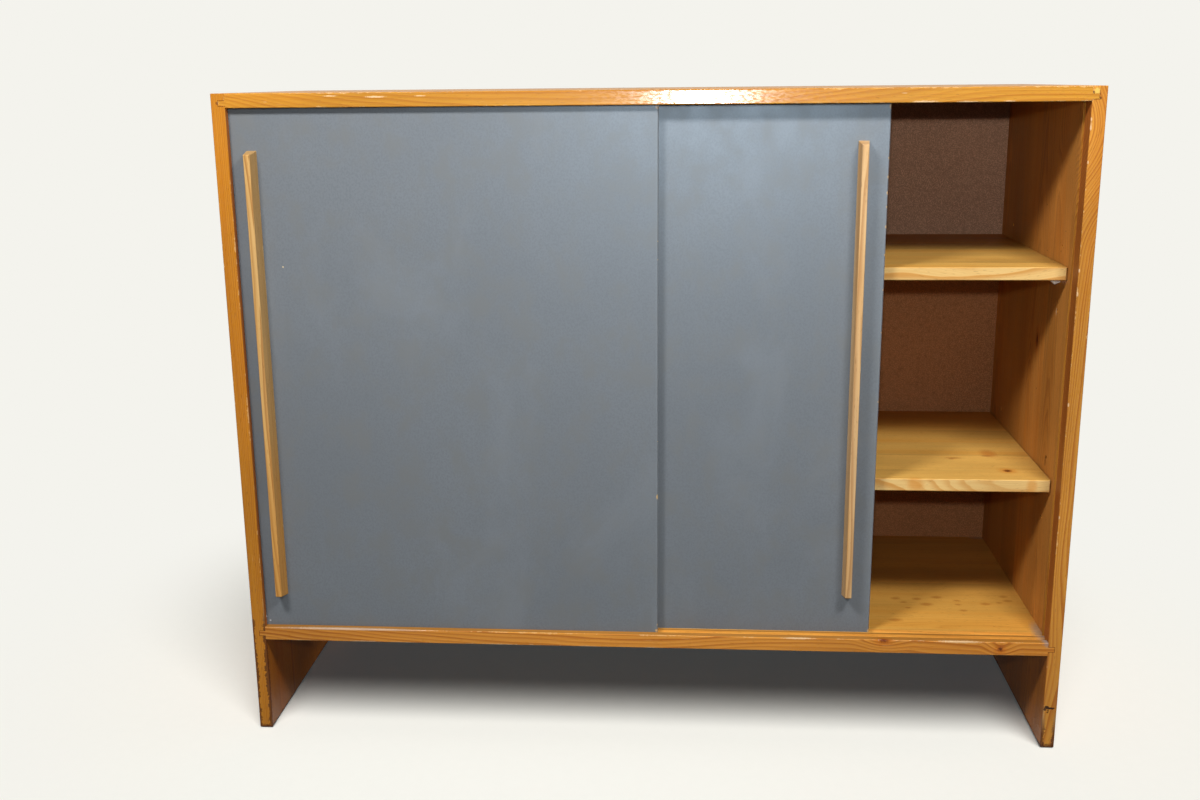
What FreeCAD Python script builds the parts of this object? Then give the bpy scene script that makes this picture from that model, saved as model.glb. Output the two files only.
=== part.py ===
import FreeCAD, Part
import os
import re
import Sketcher
from FreeCAD import Vector

# Pine cabinet with two sliding doors, on plank legs.
# The cabinet's own frame has X along the front from the left side's outer face,
# Y backwards from the planks' front edges and Z up from the floor. place() moves it
# to the part's frame, whose origin is the middle of the whole outline on the floor.

# Driving dimensions in millimetres, one cell of the sheet each.
SIZES = {
    # Carcase
    "overall_width": 1200.0,
    "overall_height": 954.0,
    "overall_depth": 452.0,
    "side_thickness": 19.5,
    "top_thickness": 20.0,
    "bottom_thickness": 21.0,
    "leg_height": 147.0,
    "arris_radius": 1.5,
    "foot_bevel": 2.5,
    # Tongues of the top and bottom boards, through to the front of the sides
    "tongue_length": 9.0,
    "tongue_thickness": 7.0,
    "top_tongue_lift": 3.0,
    "joint_clearance": 0.15,
    # Hardboard back
    "back_thickness": 4.0,
    "back_recess": 1.0,
    "back_rebate": 9.0,
    "back_edge_gap": 0.5,
    "back_top_step": 6.0,
    # Centre divider
    "divider_thickness": 19.5,
    "divider_setback": 40.0,
    "divider_housing": 5.0,
    "divider_arris": 1.0,
    # Shelves and their holes, heights from the cabinet's floor to a shelf's top
    "shelf_thickness": 18.5,
    "shelf_setback": 47.5,
    "shelf_back_gap": 3.0,
    "shelf_end_gap": 1.5,
    "shelf_arris": 1.2,
    "lower_shelf_height": 232.0,
    "upper_shelf_height": 541.0,
    "pin_setback": 85.0,
    "pin_back_distance": 75.0,
    "pin_hole_pitch": 46.0,
    "pin_hole_diameter": 5.2,
    "pin_hole_depth": 8.5,
    # Shelf pin: a round shank and a gusset under the shelf, measured down from the shank's axis
    "pin_shank_diameter": 4.8,
    "pin_shank_length": 8.0,
    "pin_head_length": 13.0,
    "pin_head_width": 9.0,
    "pin_axis_drop": 3.5,
    "pin_neck_drop": 4.0,
    "pin_belly_drop": 7.0,
    "pin_belly_distance": 8.0,
    "pin_nose_drop": 2.5,
    # Doors and their tracks
    "door_width": 600.0,
    "door_thickness": 9.5,
    "door_arris": 1.2,
    "door_tongue_thickness": 6.0,
    "door_shoulder_drop": 2.0,
    "door_run_gap": 0.3,
    "door_top_gap": 1.5,
    "door_stop_gap": 0.5,
    "right_door_opening": 260.5,
    "track_setback": 10.5,
    "track_clearance": 0.5,
    "track_wall": 5.0,
    "bottom_track_depth": 4.0,
    "top_track_depth": 6.0,
    "side_track_depth": 6.5,
    # Handle strips
    "handle_end_distance": 58.1,
    "handle_width": 14.6,
    "handle_face_width": 9.0,
    "handle_projection": 23.0,
    "handle_end_taper": 4.0,
    "handle_arris": 1.0,
    "handle_inset": 27.5,
    "left_handle_drop": 4.4,
    "right_handle_lift": 3.7,
    # Flat-headed screws, from the door's rear face into the handle
    "screw_length": 25.0,
    "screw_diameter": 3.8,
    "screw_head_diameter": 7.6,
    "screw_head_thickness": 2.2,
    "screw_clearance": 0.2,
    "screw_end_distance": 55.0,
    # Wire staples of the back
    "staple_crown": 11.0,
    "staple_leg": 14.0,
    "staple_wire": 0.9,
    "staple_clearance": 0.15,
}

PIN_HOLE_ROWS = 3
PIN_COLUMNS = 2
HANDLE_SCREWS = 2
COLUMN_STAPLES = 4
ROW_STAPLES = 4
DIVIDER_STAPLES = 2
EDGE_ROWS = 2

# A place closer than this to a face counts as on it.
ON_FACE = 0.001

# A sketch numbers the start, end and centre of its lines and circles from 1, its axes from -1.
START, END, CENTRE = range(1, 4)
H_AXIS, V_AXIS = range(-1, -3, -1)

# Sizes that follow from the cells above, as formulas.
INNER_WIDTH = "(overall_width - 2 * side_thickness)"
INNER_DEPTH = "(overall_depth - back_recess - back_thickness)"
FLOOR = "(leg_height + bottom_thickness)"
CEILING = "(overall_height - top_thickness)"
BOARD_LENGTH = f"({INNER_WIDTH} + 2 * tongue_length)"
BOARD_START = "(side_thickness - tongue_length)"
BOTTOM_TONGUE_LIFT = "((bottom_thickness - tongue_thickness) / 2)"
BAY_WIDTH = f"(({INNER_WIDTH} - divider_thickness) / 2)"
DIVIDER_START = f"(side_thickness + {BAY_WIDTH})"
RIGHT_BAY_START = f"({DIVIDER_START} + divider_thickness)"
TRACK_WIDTH = "(door_thickness + 2 * track_clearance)"
REAR_TRACK_SETBACK = f"(track_setback + {TRACK_WIDTH} + track_wall)"
DOOR_BOTTOM = f"({FLOOR} - bottom_track_depth + door_run_gap)"
DOOR_TOP = f"({CEILING} + top_track_depth - door_top_gap)"
DOOR_HEIGHT = f"({DOOR_TOP} - {DOOR_BOTTOM})"
DOOR_SHOULDER = f"({CEILING} - door_shoulder_drop - {DOOR_BOTTOM})"
DOOR_REBATE = "(door_thickness - door_tongue_thickness)"
LEFT_DOOR_START = "(side_thickness - side_track_depth + door_stop_gap)"
RIGHT_DOOR_START = f"(overall_width - {LEFT_DOOR_START} - door_width - right_door_opening)"
HANDLE_LENGTH = f"({DOOR_HEIGHT} - 2 * handle_end_distance)"
HANDLE_OVERHANG = "(handle_projection - track_setback - track_clearance)"
SCREW_BITE = "(screw_length - door_thickness)"
SCREW_HOLE = "(screw_diameter + 2 * screw_clearance)"
SCREW_SPAN = f"({HANDLE_LENGTH} - 2 * screw_end_distance)"
PANEL_START = "(side_thickness - back_rebate + back_edge_gap)"
PANEL_WIDTH = f"(overall_width - 2 * {PANEL_START})"
PANEL_HEIGHT = "(overall_height - back_top_step - leg_height)"
STAPLE_BITE = "(staple_leg - back_thickness)"
STAPLE_HOLE = "(staple_wire + 2 * staple_clearance)"
STAPLE_DEPTH = f"({STAPLE_BITE} + staple_clearance)"
LEG_SPREAD = "((staple_crown - staple_wire) / 2)"
COLUMN_PITCH = f"({PANEL_HEIGHT} / {COLUMN_STAPLES})"
COLUMN_FIRST = f"(leg_height + {COLUMN_PITCH} / 2)"
COLUMN_SPAN = f"({COLUMN_PITCH} * {COLUMN_STAPLES - 1})"
ROW_PITCH = f"({INNER_WIDTH} / {ROW_STAPLES})"
ROW_FIRST = f"(side_thickness + {ROW_PITCH} / 2)"
ROW_SPAN = f"({ROW_PITCH} * {ROW_STAPLES - 1})"
BOTTOM_ROW = "(leg_height + bottom_thickness / 2)"
TOP_ROW = "(overall_height - top_thickness / 2)"
DIVIDER_PITCH = f"({PANEL_HEIGHT} / {DIVIDER_STAPLES})"
DIVIDER_FIRST = f"(leg_height + {DIVIDER_PITCH} / 2)"
DIVIDER_SPAN = f"({DIVIDER_PITCH} * {DIVIDER_STAPLES - 1})"

doc = FreeCAD.newDocument("cabinet")
dims = doc.addObject("Spreadsheet::Sheet", "dims")
for row, (alias, number) in enumerate(SIZES.items(), start=1):
    dims.set(f"A{row}", alias)
    dims.set(f"B{row}", str(number))
    dims.setAlias(f"B{row}", alias)
doc.recompute()

nodes = []


def linked(formula):
    """Point each alias in a formula at its cell of the sheet."""
    return re.sub(r"[a-z]\w*", r"dims.\g<0>", formula)


def value(formula):
    """Work a formula out with the sheet's present sizes."""
    return float(dims.evalExpression(formula))


def bind(item, name, formula):
    """Let a property follow a formula of the sheet's cells."""
    item.setExpression(name, linked(formula))


def new_body(label):
    """Make the body of one sub-part and note it as a node."""
    body = doc.addObject("PartDesign::Body", label)
    body.Label = label
    nodes.append(body)
    return body


def place(body, along="0", back="0", up="0"):
    """Set a body down at a place of the cabinet's own frame."""
    bind(body, ".Placement.Base.x", f"{along} - overall_width / 2")
    bind(body, ".Placement.Base.y", f"{back} - (overall_depth - {HANDLE_OVERHANG}) / 2")
    bind(body, ".Placement.Base.z", up)


def origin_feature(body, role):
    """Find a plane or axis of a body's own origin."""
    return next(item for item in body.Origin.OriginFeatures if item.Role == role)


def new_sketch(body, plane, name, offset=None, shift_across=None, shift_up=None):
    """Attach a sketch to an origin plane of its body, moved along the normal or in the plane."""
    sketch = body.newObject("Sketcher::SketchObject", name)
    sketch.AttachmentSupport = (origin_feature(body, f"{plane}_Plane"), "")
    sketch.MapMode = "FlatFace"
    for axis, formula in zip("xyz", (shift_across, shift_up, offset)):
        if formula is not None:
            bind(sketch, f".AttachmentOffset.Base.{axis}", formula)
    return sketch


def hold(sketch, element, point, axis, formula):
    """Keep a point at a formula's distance from the sketch's origin, or on the other axis."""
    if formula is None:
        line = V_AXIS if axis == "X" else H_AXIS
        sketch.addConstraint(Sketcher.Constraint("PointOnObject", element, point, line))
        return
    rule = Sketcher.Constraint(f"Distance{axis}", H_AXIS, START, element, point, value(formula))
    number = sketch.addConstraint(rule)
    bind(sketch, f"Constraints[{number}]", formula)


def at(across, up):
    """Work out a sketch point, where None lies on an axis."""
    return Vector(value(across) if across else 0, value(up) if up else 0, 0)


def outline(sketch, corners):
    """Draw a closed outline through corners given as pairs of formulas."""
    points = [at(across, up) for across, up in corners]
    first = sketch.GeometryCount
    for start, end in zip(points, points[1:] + points[:1]):
        sketch.addGeometry(Part.LineSegment(start, end))
    for index, (across, up) in enumerate(corners):
        after = first + (index + 1) % len(corners)
        sketch.addConstraint(Sketcher.Constraint("Coincident", first + index, END, after, START))
        hold(sketch, first + index, START, "X", across)
        hold(sketch, first + index, START, "Y", up)


def rectangle(sketch, width, height, left=None, bottom=None):
    """Draw a rectangle from its sides and its lower left corner."""
    right = f"{left} + {width}" if left else width
    top = f"{bottom} + {height}" if bottom else height
    outline(sketch, [(left, bottom), (right, bottom), (right, top), (left, top)])


def circle(sketch, diameter, across=None, up=None):
    """Draw a circle from its diameter and its centre."""
    ring = Part.Circle()
    ring.Center = at(across, up)
    ring.Radius = value(diameter) / 2
    element = sketch.addGeometry(ring)
    number = sketch.addConstraint(Sketcher.Constraint("Diameter", element, value(diameter)))
    bind(sketch, f"Constraints[{number}]", diameter)
    hold(sketch, element, CENTRE, "X", across)
    hold(sketch, element, CENTRE, "Y", up)


def pad(body, sketch, length, against_normal=False):
    """Raise a sketch into solid wood."""
    feature = body.newObject("PartDesign::Pad", f"{sketch.Name}_pad")
    feature.Profile = sketch
    feature.Reversed = against_normal
    bind(feature, "Length", length)
    doc.recompute()
    return feature


def pocket(body, sketch, depth, along_normal=False):
    """Cut a sketch into the body, and make sure that it took wood away."""
    before = body.Shape.Volume
    feature = body.newObject("PartDesign::Pocket", f"{sketch.Name}_cut")
    feature.Profile = sketch
    feature.Reversed = along_normal
    bind(feature, "Length", depth)
    doc.recompute()
    if body.Shape.Volume >= before:
        raise RuntimeError(f"{feature.Name} cuts nothing")
    return feature


def revolve(body, sketch, axis):
    """Turn a half section about an axis of its own sketch."""
    feature = body.newObject("PartDesign::Revolution", f"{sketch.Name}_turn")
    feature.Profile = sketch
    feature.ReferenceAxis = (sketch, [axis])
    doc.recompute()
    return feature


def pattern(body, features, name, *runs):
    """Repeat features along one or two of the body's axes, each run an axis, a span and a count."""
    feature = body.newObject("PartDesign::LinearPattern", name)
    feature.Originals = features
    for suffix, (axis, span, count) in zip(("", "2"), runs):
        setattr(feature, f"Direction{suffix}", (origin_feature(body, f"{axis}_Axis"), [""]))
        setattr(feature, f"Occurrences{suffix}", count)
        bind(feature, f"Length{suffix}", span)
    body.Tip = feature
    doc.recompute()
    return feature


def ease_edges(body, feature, size, wanted, is_round=True):
    """Round or bevel the edges whose bounding box passes a test."""
    edges = feature.Shape.Edges
    names = [f"Edge{number}" for number, edge in enumerate(edges, start=1) if wanted(edge.BoundBox)]
    kind = "Fillet" if is_round else "Chamfer"
    eased = body.newObject(f"PartDesign::{kind}", f"{feature.Name}_eased")
    eased.Base = (feature, names)
    bind(eased, "Radius" if is_round else "Size", size)
    doc.recompute()
    return eased


def runs_along(box, axis):
    """Tell whether an edge's box is longest along X, Y or Z."""
    lengths = {"X": box.XLength, "Y": box.YLength, "Z": box.ZLength}
    return max(lengths, key=lengths.get) == axis


def pin_axis_height(shelf_height):
    """Height of a shelf's pins above the ground."""
    return f"({FLOOR} + {shelf_height} - shelf_thickness - pin_axis_drop)"


PIN_COLUMN_SPAN = f"({INNER_DEPTH} - pin_setback - pin_back_distance)"
SHELF_HEIGHTS = {"lower": "lower_shelf_height", "upper": "upper_shelf_height"}


def drill_pin_holes(body, depth, along_normal):
    """Drill the two columns of shelf-pin holes from the face at the body's own X of zero."""
    for level, height in SHELF_HEIGHTS.items():
        sketch = new_sketch(body, "YZ", f"{body.Name}_{level}_pin_hole")
        first = f"{pin_axis_height(height)} - pin_hole_pitch"
        circle(sketch, "pin_hole_diameter", "pin_setback", first)
        hole = pocket(body, sketch, depth, along_normal)
        rows = ("Z", f"pin_hole_pitch * {PIN_HOLE_ROWS - 1}", PIN_HOLE_ROWS)
        columns = ("Y", PIN_COLUMN_SPAN, PIN_COLUMNS)
        pattern(body, [hole], f"{sketch.Name}_rows", rows, columns)


def punch_staple_holes(body, name, face, depth, is_upright, across, up, *runs):
    """Cut pairs of leg holes forwards from a face at a depth of the body's own frame."""
    sketch = new_sketch(body, "XZ", f"{body.Name}_{name}_holes", f"-{face}")
    for sign in "-+":
        shift = f"{sign} {LEG_SPREAD} - {STAPLE_HOLE} / 2"
        left = f"{across} - {STAPLE_HOLE} / 2" if is_upright else f"{across} {shift}"
        bottom = f"{up} {shift}" if is_upright else f"{up} - {STAPLE_HOLE} / 2"
        rectangle(sketch, STAPLE_HOLE, STAPLE_HOLE, f"({left})", f"({bottom})")
    holes = pocket(body, sketch, depth, along_normal=True)
    pattern(body, [holes], f"{sketch.Name}_run", *runs)


def side_plank(label, is_left, track_setback, start):
    """Full-height side whose lower end is the leg, with X from its inner face."""
    body = new_body(label)
    sketch = new_sketch(body, "YZ", f"{label}_outline")
    rectangle(sketch, "overall_depth", "overall_height")
    plank = pad(body, sketch, "side_thickness", against_normal=is_left)

    inner_depth = value(INNER_DEPTH)
    at_foot = lambda box: box.ZMax < ON_FACE and box.YMin < inner_depth
    plank = ease_edges(body, plank, "foot_bevel", at_foot, is_round=False)
    above_foot = value("foot_bevel") + ON_FACE

    def is_rounded(box):
        at_front = box.YMax < ON_FACE and runs_along(box, "Z")
        outer = min(abs(box.XMin), abs(box.XMax)) > value("side_thickness") - ON_FACE
        return at_front or outer and box.ZMin > above_foot and runs_along(box, "Y")

    ease_edges(body, plank, "arris_radius", is_rounded)
    tongues = {"bottom": f"leg_height + {BOTTOM_TONGUE_LIFT}", "top": f"{CEILING} + top_tongue_lift"}
    for end, lift in tongues.items():
        sketch = new_sketch(body, "YZ", f"{label}_{end}_housing")
        height = "(tongue_thickness + 2 * joint_clearance)"
        rectangle(sketch, "overall_depth", height, bottom=f"({lift} - joint_clearance)")
        pocket(body, sketch, "tongue_length + joint_clearance", along_normal=not is_left)
    sketch = new_sketch(body, "YZ", f"{label}_rebate")
    rebate_depth = "(back_thickness + back_recess)"
    rectangle(sketch, rebate_depth, "(overall_height - leg_height)", INNER_DEPTH, "leg_height")
    pocket(body, sketch, "back_rebate", along_normal=not is_left)
    sketch = new_sketch(body, "YZ", f"{label}_track")
    track_height = f"({CEILING} + top_track_depth - {FLOOR} + bottom_track_depth)"
    rectangle(sketch, TRACK_WIDTH, track_height, track_setback, f"({FLOOR} - bottom_track_depth)")
    pocket(body, sketch, "side_track_depth", along_normal=not is_left)
    drill_pin_holes(body, "pin_hole_depth", along_normal=not is_left)
    across = "-back_rebate / 2" if is_left else "back_rebate / 2"
    column = ("Z", COLUMN_SPAN, COLUMN_STAPLES)
    punch_staple_holes(body, "column", INNER_DEPTH, STAPLE_DEPTH, True, across, COLUMN_FIRST, column)
    place(body, start)


def long_board(label, thickness, tongue_lift, is_top, up):
    """Top or bottom board with its end tongues, door tracks and the divider's housing."""
    body = new_body(label)
    sketch = new_sketch(body, "XZ", f"{label}_section")
    rectangle(sketch, INNER_WIDTH, thickness, left="tongue_length")
    board = pad(body, sketch, INNER_DEPTH, against_normal=True)
    ease_edges(body, board, "arris_radius", lambda box: box.YMax < ON_FACE and runs_along(box, "X"))
    sketch = new_sketch(body, "XZ", f"{label}_tongues")
    rectangle(sketch, BOARD_LENGTH, "tongue_thickness", bottom=tongue_lift)
    pad(body, sketch, INNER_DEPTH, against_normal=True)

    face = None if is_top else thickness
    depth = "top_track_depth" if is_top else "bottom_track_depth"
    width = "(door_tongue_thickness + 2 * track_clearance)" if is_top else TRACK_WIDTH
    inset = DOOR_REBATE if is_top else "0"
    for name, setback in (("front_track", "track_setback"), ("rear_track", REAR_TRACK_SETBACK)):
        sketch = new_sketch(body, "XY", f"{label}_{name}", face)
        rectangle(sketch, BOARD_LENGTH, width, bottom=f"({setback} + {inset})")
        pocket(body, sketch, depth, along_normal=is_top)

    sketch = new_sketch(body, "XY", f"{label}_divider_housing", face)
    left = f"({DIVIDER_START} - {BOARD_START} - joint_clearance)"
    front = "(divider_setback - joint_clearance)"
    housing_width = "(divider_thickness + 2 * joint_clearance)"
    rectangle(sketch, housing_width, f"({INNER_DEPTH} - {front})", left, front)
    pocket(body, sketch, "divider_housing", along_normal=is_top)
    first = f"{ROW_FIRST} - {BOARD_START}"
    row = ("X", ROW_SPAN, ROW_STAPLES)
    punch_staple_holes(body, "row", INNER_DEPTH, STAPLE_DEPTH, False, first, f"{thickness} / 2", row)
    place(body, BOARD_START, up=up)


def centre_divider():
    """Plank between the two bays, let into the top and bottom boards."""
    body = new_body("centre_divider")
    bottom = f"({FLOOR} - divider_housing)"
    height = f"({CEILING} - {FLOOR} + 2 * divider_housing - joint_clearance)"
    sketch = new_sketch(body, "YZ", "divider_outline")
    rectangle(sketch, f"({INNER_DEPTH} - divider_setback)", height, "divider_setback", bottom)
    plank = pad(body, sketch, "divider_thickness")
    front = value("divider_setback") + ON_FACE
    at_front = lambda box: box.YMax < front and runs_along(box, "Z")
    ease_edges(body, plank, "divider_arris", at_front, is_round=False)
    drill_pin_holes(body, "divider_thickness", along_normal=True)
    middle = "divider_thickness / 2"
    column = ("Z", DIVIDER_SPAN, DIVIDER_STAPLES)
    punch_staple_holes(body, "column", INNER_DEPTH, STAPLE_DEPTH, True, middle, DIVIDER_FIRST, column)
    place(body, DIVIDER_START)


def back_panel():
    """Hardboard sheet in the sides' rebates, stapled all round and to the divider."""
    body = new_body("back_panel")
    sketch = new_sketch(body, "XZ", "back_outline")
    rectangle(sketch, PANEL_WIDTH, PANEL_HEIGHT)
    pad(body, sketch, "back_thickness", against_normal=True)
    for name, (is_upright, across, up, runs) in staple_runs().items():
        first, height = f"{across} - {PANEL_START}", f"{up} - leg_height"
        thickness = "back_thickness"
        punch_staple_holes(body, name, thickness, thickness, is_upright, first, height, *runs)
    place(body, PANEL_START, INNER_DEPTH, "leg_height")


def staple_runs():
    """Whether a run's crowns stand upright, its first staple's middle and its repeats."""
    column_start = "(side_thickness - back_rebate / 2)"
    sides = ("X", f"(overall_width - 2 * {column_start})", EDGE_ROWS)
    boards = ("Z", f"({TOP_ROW} - {BOTTOM_ROW})", EDGE_ROWS)
    column = ("Z", COLUMN_SPAN, COLUMN_STAPLES)
    row = ("X", ROW_SPAN, ROW_STAPLES)
    middle_column = ("Z", DIVIDER_SPAN, DIVIDER_STAPLES)
    return {
        "side": (True, column_start, COLUMN_FIRST, [column, sides]),
        "board": (False, ROW_FIRST, BOTTOM_ROW, [row, boards]),
        "divider": (True, "overall_width / 2", DIVIDER_FIRST, [middle_column]),
    }


def back_staples():
    """All the staples of the back, with Y from their points to their crowns."""
    body = new_body("back_staples")
    inner_far, back_of_crown = "(staple_crown - staple_wire)", "(staple_leg + staple_wire)"
    profile = [
        (None, None),
        ("staple_wire", None),
        ("staple_wire", "staple_leg"),
        (inner_far, "staple_leg"),
        (inner_far, None),
        ("staple_crown", None),
        ("staple_crown", back_of_crown),
        (None, back_of_crown),
    ]
    for name, (is_upright, across, up, runs) in staple_runs().items():
        if is_upright:
            start = f"{across} - staple_wire / 2"
            sketch = new_sketch(body, "YZ", f"{name}_staple", start, shift_up=f"{up} - staple_crown / 2")
            outline(sketch, [(along, along_crown) for along_crown, along in profile])
        else:
            start = f"{up} - staple_wire / 2"
            sketch = new_sketch(body, "XY", f"{name}_staple", start, f"{across} - staple_crown / 2")
            outline(sketch, profile)
        staple = pad(body, sketch, "staple_wire")
        pattern(body, [staple], f"{name}_staples", *runs)
    place(body, back=f"{INNER_DEPTH} - {STAPLE_BITE}")


def shelf(label, bay_start, shelf_height):
    """Loose shelf with a bevelled front."""
    body = new_body(label)
    sketch = new_sketch(body, "XY", f"{label}_outline")
    depth = f"({INNER_DEPTH} - shelf_setback - shelf_back_gap)"
    rectangle(sketch, f"({BAY_WIDTH} - 2 * shelf_end_gap)", depth)
    board = pad(body, sketch, "shelf_thickness")
    ease_edges(body, board, "shelf_arris", lambda box: box.YMax < ON_FACE, is_round=False)
    up = f"{FLOOR} + {shelf_height} - shelf_thickness"
    place(body, f"{bay_start} + shelf_end_gap", "shelf_setback", up)


def shelf_pins(label, bay_start, shelf_height):
    """Four pins under one shelf, each a round shank with a gusset that the shelf lies on."""
    body = new_body(label)
    span = f"({BAY_WIDTH} + 2 * pin_shank_length)"
    length = "(pin_shank_length + pin_head_length)"
    belly = "(pin_shank_length + pin_belly_distance)"
    profile = [
        ("pin_shank_length", "pin_belly_drop - pin_neck_drop"),
        (belly, None),
        (length, "pin_belly_drop - pin_nose_drop"),
        (length, "pin_belly_drop + pin_axis_drop"),
        ("pin_shank_length", "pin_belly_drop + pin_axis_drop"),
    ]
    features = []
    for end in ("left", "right"):
        is_left = end == "left"
        name = f"{label}_{end}_gusset"
        sketch = new_sketch(body, "XZ", name, "-pin_head_width / 2", shift_up="-pin_belly_drop")
        outline(sketch, profile if is_left else [(f"{span} - {across}", up) for across, up in profile])
        gusset = pad(body, sketch, "pin_head_width")
        face = "pin_shank_length" if is_left else f"{span} - pin_shank_length"
        sketch = new_sketch(body, "YZ", f"{label}_{end}_shank", face)
        circle(sketch, "pin_shank_diameter")
        shank = pad(body, sketch, "pin_shank_length", against_normal=is_left)
        features += [gusset, shank]
    pattern(body, features, f"{label}_rows", ("Y", PIN_COLUMN_SPAN, PIN_COLUMNS))
    place(body, f"{bay_start} - pin_shank_length", "pin_setback", pin_axis_height(shelf_height))


def screw_places(handle_rise):
    """Heights of a handle's screws above the door's lower edge."""
    first = f"handle_end_distance + {handle_rise} + screw_end_distance"
    pitch = f"{SCREW_SPAN} / {HANDLE_SCREWS - 1}"
    return [f"({first} + {index} * {pitch})" for index in range(HANDLE_SCREWS)]


def handle_start(is_left):
    """Where a handle starts across its own door."""
    return "handle_inset" if is_left else "(door_width - handle_inset - handle_width)"


def sliding_door(label, is_left, start, track_setback, handle_rise):
    """Painted panel, rebated along its top front edge to a tongue that runs in the top track."""
    body = new_body(label)
    sketch = new_sketch(body, "XZ", f"{label}_outline")
    rectangle(sketch, "door_width", DOOR_HEIGHT)
    panel = pad(body, sketch, "door_thickness", against_normal=True)
    ease_edges(body, panel, "door_arris", lambda box: runs_along(box, "Z"), is_round=False)
    sketch = new_sketch(body, "YZ", f"{label}_rebate")
    rectangle(sketch, DOOR_REBATE, f"({DOOR_HEIGHT} - {DOOR_SHOULDER})", bottom=DOOR_SHOULDER)
    pocket(body, sketch, "door_width", along_normal=True)

    sketch = new_sketch(body, "XZ", f"{label}_screw_places", "-door_thickness")
    across = f"{handle_start(is_left)} + handle_width / 2"
    for height in screw_places(handle_rise):
        circle(sketch, SCREW_HOLE, across, height)
    pocket(body, sketch, "door_thickness", along_normal=True)
    place(body, start, f"{track_setback} + track_clearance", DOOR_BOTTOM)


def handle_strip(label, is_left, door_start, track_setback, handle_rise):
    """Long strip that tapers on all four sides, from its foot on the door to its narrow face."""
    body = new_body(label)
    strip = body.newObject("PartDesign::AdditiveWedge", f"{label}_wedge")
    limits = {
        "Ymin": "-handle_projection",
        "Ymax": "0",
        "Xmin": "(handle_width - handle_face_width) / 2",
        "Xmax": "(handle_width + handle_face_width) / 2",
        "Zmin": "handle_end_taper",
        "Zmax": f"{HANDLE_LENGTH} - handle_end_taper",
        "X2min": "0",
        "X2max": "handle_width",
        "Z2min": "0",
        "Z2max": HANDLE_LENGTH,
    }
    for name, formula in limits.items():
        bind(strip, name, formula)
    doc.recompute()
    on_foot = -value("handle_arris")
    ease_edges(body, strip, "handle_arris", lambda box: box.YMin < on_foot, is_round=False)
    sketch = new_sketch(body, "XZ", f"{label}_pilot")
    circle(sketch, SCREW_HOLE, "handle_width / 2", "screw_end_distance")
    hole = pocket(body, sketch, f"{SCREW_BITE} + screw_clearance", along_normal=True)
    pattern(body, [hole], f"{label}_pilots", ("Z", SCREW_SPAN, HANDLE_SCREWS))
    across = f"{door_start} + {handle_start(is_left)}"
    up = f"{DOOR_BOTTOM} + handle_end_distance + {handle_rise}"
    place(body, across, f"{track_setback} + track_clearance", up)


def handle_screws(label, is_left, door_start, track_setback, handle_rise):
    """Screws of one handle, with Y from their points to their flat heads."""
    body = new_body(label)
    shank, head = "screw_diameter / 2", "screw_head_diameter / 2"
    back_of_head = "(screw_length + screw_head_thickness)"
    sketch = new_sketch(body, "XY", f"{label}_section")
    outline(sketch, [
        (None, None),
        (shank, None),
        (shank, "screw_length"),
        (head, "screw_length"),
        (head, back_of_head),
        (None, back_of_head),
    ])
    screw = revolve(body, sketch, "V_Axis")
    pattern(body, [screw], f"{label}_row", ("Z", SCREW_SPAN, HANDLE_SCREWS))
    across = f"{door_start} + {handle_start(is_left)} + handle_width / 2"
    back = f"{track_setback} + track_clearance + door_thickness - screw_length"
    up = f"{DOOR_BOTTOM} + handle_end_distance + {handle_rise} + screw_end_distance"
    place(body, across, back, up)


def carcase():
    """Planks, boards, divider and back."""
    side_plank("side_left", True, "track_setback", "side_thickness")
    side_plank("side_right", False, REAR_TRACK_SETBACK, "overall_width - side_thickness")
    long_board("top_board", "top_thickness", "top_tongue_lift", True, CEILING)
    long_board("bottom_board", "bottom_thickness", BOTTOM_TONGUE_LIFT, False, "leg_height")
    centre_divider()
    back_panel()
    back_staples()


def shelves():
    """Two shelves in each bay, each on four pins."""
    for bay, bay_start in (("left", "side_thickness"), ("right", RIGHT_BAY_START)):
        for level, height in SHELF_HEIGHTS.items():
            shelf(f"shelf_{bay}_{level}", bay_start, height)
            shelf_pins(f"pins_{bay}_{level}", bay_start, height)


def doors():
    """Left door in the front track, right door in the rear one, each with its handle."""
    plans = {
        "left": (True, LEFT_DOOR_START, "track_setback", "(-left_handle_drop)"),
        "right": (False, RIGHT_DOOR_START, REAR_TRACK_SETBACK, "right_handle_lift"),
    }
    for hand, (is_left, start, track_setback, handle_rise) in plans.items():
        sliding_door(f"door_{hand}", is_left, start, track_setback, handle_rise)
        handle_strip(f"handle_{hand}", is_left, start, track_setback, handle_rise)
        handle_screws(f"screws_handle_{hand}", is_left, start, track_setback, handle_rise)


def check_and_export():
    """Refuse a failed object or shape, then write one file for each node."""
    doc.recompute()
    for item in doc.Objects:
        if {"Invalid", "Error"} & set(item.State):
            raise RuntimeError(f"{item.Label} failed: {item.State}")
    for body in nodes:
        if body.Shape.isNull() or not body.Shape.isValid():
            raise RuntimeError(f"{body.Label} has no valid shape")
    os.makedirs("parts", exist_ok=True)
    for body in nodes:
        body.Shape.exportStep(f"parts/{body.Label}.step")
        print(f"{body.Label}: {len(body.Shape.Solids)} solids, {len(body.Shape.Faces)} faces")


carcase()
shelves()
doors()
check_and_export()
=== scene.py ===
import logging
import math
from dataclasses import dataclass, field
from enum import Enum
from functools import cached_property, reduce
from typing import Union

import bmesh
import bpy
from mathutils import Matrix, Vector


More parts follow.
